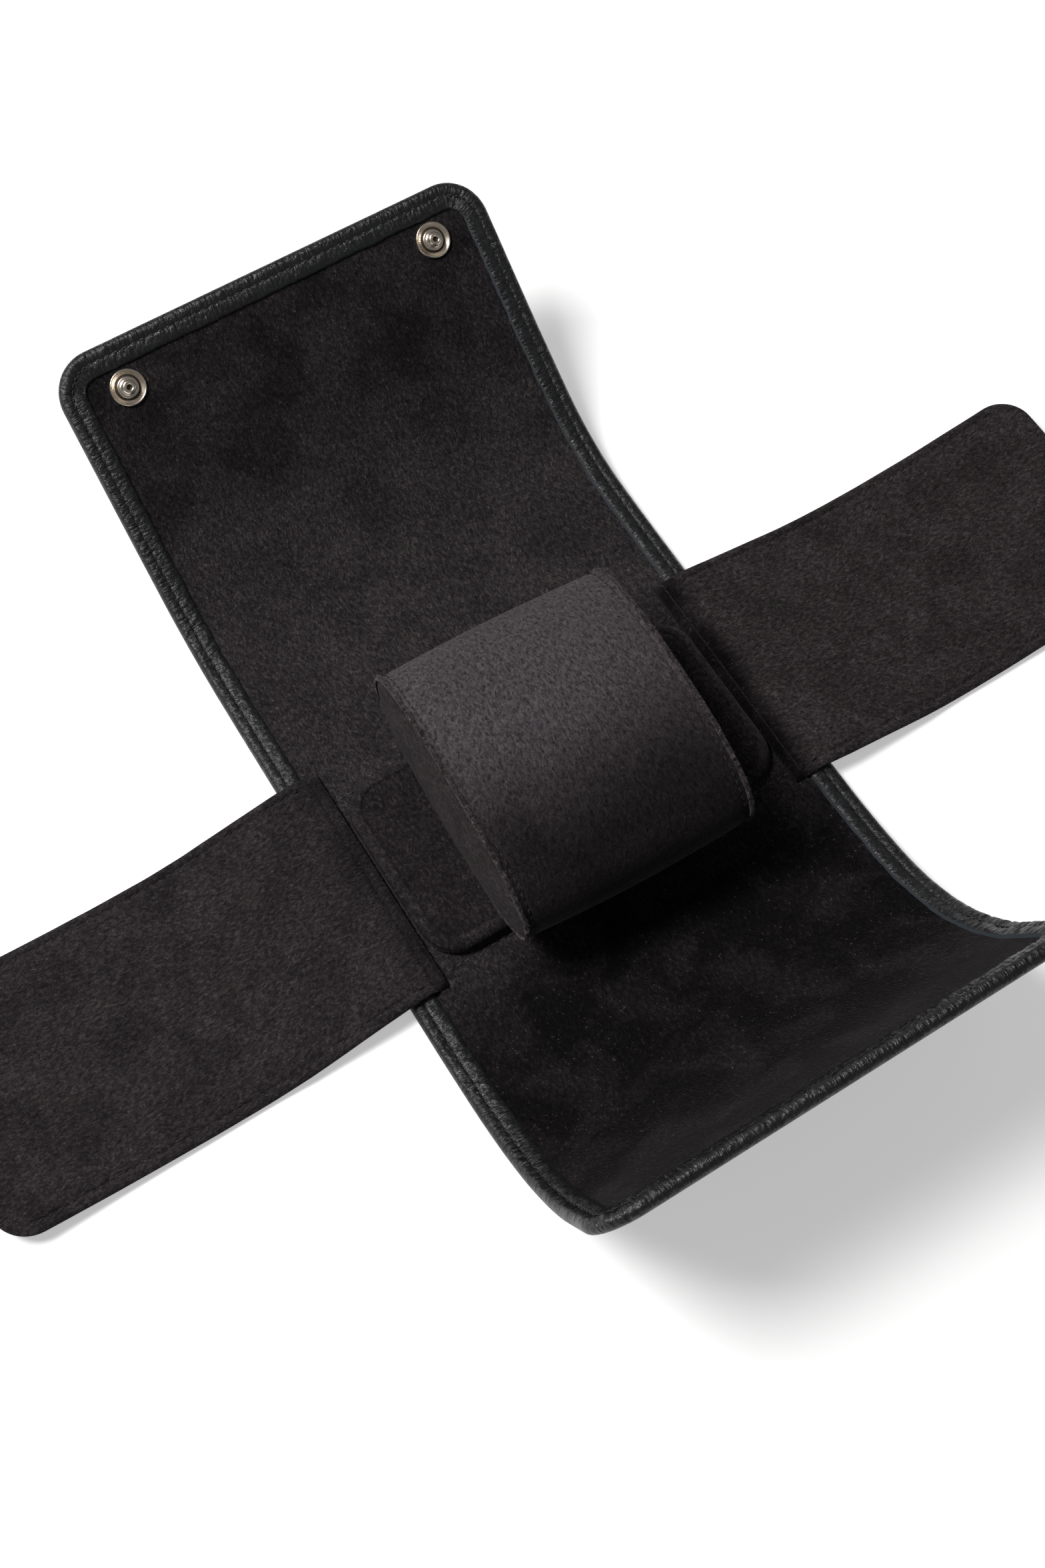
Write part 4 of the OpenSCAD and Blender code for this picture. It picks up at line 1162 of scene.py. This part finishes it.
def welt(side):
    """A flattened tube on the seam: half ellipse outwards, its foot sunk in the seam, leaning a little. It
    is even at its join, so that its two ends meet."""
    from_join = np.minimum(welt_run, girth[-1] - welt_run)
    height = np.where(from_join < 1, welt_rise, welt_height(welt_run, side))
    wander = 0.3 * ripple(welt_run, 2.3, 79 + side) * np.clip(from_join, 0, 1)
    out = np.maximum(np.sin(around), -0.5) * height
    outwards = np.clip(np.sin(around), 0, 1)
    x = side * (pillow_half_w + seam_out + wander * outwards) + welt_half_w * np.cos(around)
    rough = 0.18 * unevenness(welt_run, around * 2, 0.55, 0.9, 83 + side) * np.clip(from_join, 0, 1)
    y, z = pillow_profile(welt_turn, pillow_crown - out - rough * np.sin(around / 2) ** 2)
    points = joined(x, y, np.maximum(z, band_low[2] - seam_under))
    return patch(points, (welt_run, around), 0 * y, flip=False)


welt_suede = microsuede("frayed_welt", linear("#171415"), linear("#322d2e"), linear("#5a5556"),
                        brushed_mm=3, tips_share=1.0, halo=0.4)
welts = mesh_piece("pillow_seam_welts", sew([welt(1), welt(-1)]), [welt_suede])
settle(welts, "pillow", "microsuede")


# The welts' loose fibres. Ends of polyester fibre that cutting left stand out from the raw edges, held by
# the seam alone. They are drawn thicker than real ones, so that they show.
fibres_a_side = 1300
draw = np.random.default_rng(7)


def fibres(side):
    """Thin three-sided spikes: a foot on the welt, and a tip that leans along and outwards from it."""
    run = draw.uniform(0, girth[-1], fibres_a_side)[:, None, None]
    lean, long_by = (draw.uniform(-1, 1, fibres_a_side)[:, None, None] for _ in range(2))
    aside, thick = (draw.uniform(-1, 1, fibres_a_side)[:, None, None] for _ in range(2))
    step = np.linspace(0, 1, 4)[None, :, None]
    round_it = np.linspace(0, 2 * np.pi, 4)[None, None, :]
    radius = (0.055 + 0.02 * thick) * (1 - step) + 0.004
    length = 0.5 + 0.4 * long_by
    along = run + lean * 0.5 * step ** 1.5 + radius * np.cos(round_it)
    out = welt_rise * 0.55 + length * step
    x = side * (pillow_half_w + seam_out) + aside * (0.35 + 0.5 * step) + radius * np.sin(round_it)
    y, z = pillow_profile(turn_at(along), pillow_crown - out)
    points = joined(x, y, np.maximum(z, band_low[2] - seam_under))
    return patch(points, (along, out), 0 * y, quads=quads_of(4, 4, fibres_a_side), flip=True)


fuzz = mesh_piece("pillow_seam_fibres", sew([fibres(1), fibres(-1)], reach=0.0005), [welt_suede])
settle(fuzz, "pillow", "microsuede")


# The pillow's sewing. A lockstitch in black polyester goes all round the band beside each welt, and draws
# the band down in a shallow dent.
stitches_round = 84
seam_pitch = girth[-1] / stitches_round
seam_marks = np.arange(seam_pitch / 2, girth[-1], seam_pitch)
seam_stitch, seam_dip, seam_sunk = (1.55, 0.42, 0.3), 0.22, 0.08
seam_rows = []
for side in (1, -1):
    along, across, up, faces = capsules(len(seam_marks), *seam_stitch, seam_dip)
    at = seam_marks[:, None, None] + along
    x = side * (pillow_half_w - seam_in + across)
    y, z = pillow_profile(turn_at(at), crown(side * (pillow_half_w - seam_in)) - up + seam_sunk)
    seam_rows.append(patch(joined(x, y, z), (at, across), 0 * y, quads=faces, flip=side > 0))
sewing = mesh_piece("pillow_seam_sewing", sew(seam_rows), [flap_thread])
settle(sewing, "pillow", "thread", "pillow_seam_thread")

# The pillow as it was put down. It is first stretched a little along the strip, away from a place near its
# far end that stays, so that its near end is fuller. Then it is turned about a place nearer its middle. Both
# places are in metres from the strip's middle.
turned_about, stays_at, longer, turned_by = 0.012, 0.03, 1.012, np.radians(-2.2)
askew = (Matrix.Translation((0, turned_about, 0)) @ Matrix.Rotation(turned_by, 4, "Z")
         @ Matrix.Translation((0, stays_at - turned_about, 0)) @ Matrix.Diagonal((1, longer, 1, 1))
         @ Matrix.Translation((0, -stays_at, 0)))
for part in (pillow, welts, fuzz, sewing):
    part.data.transform(askew)
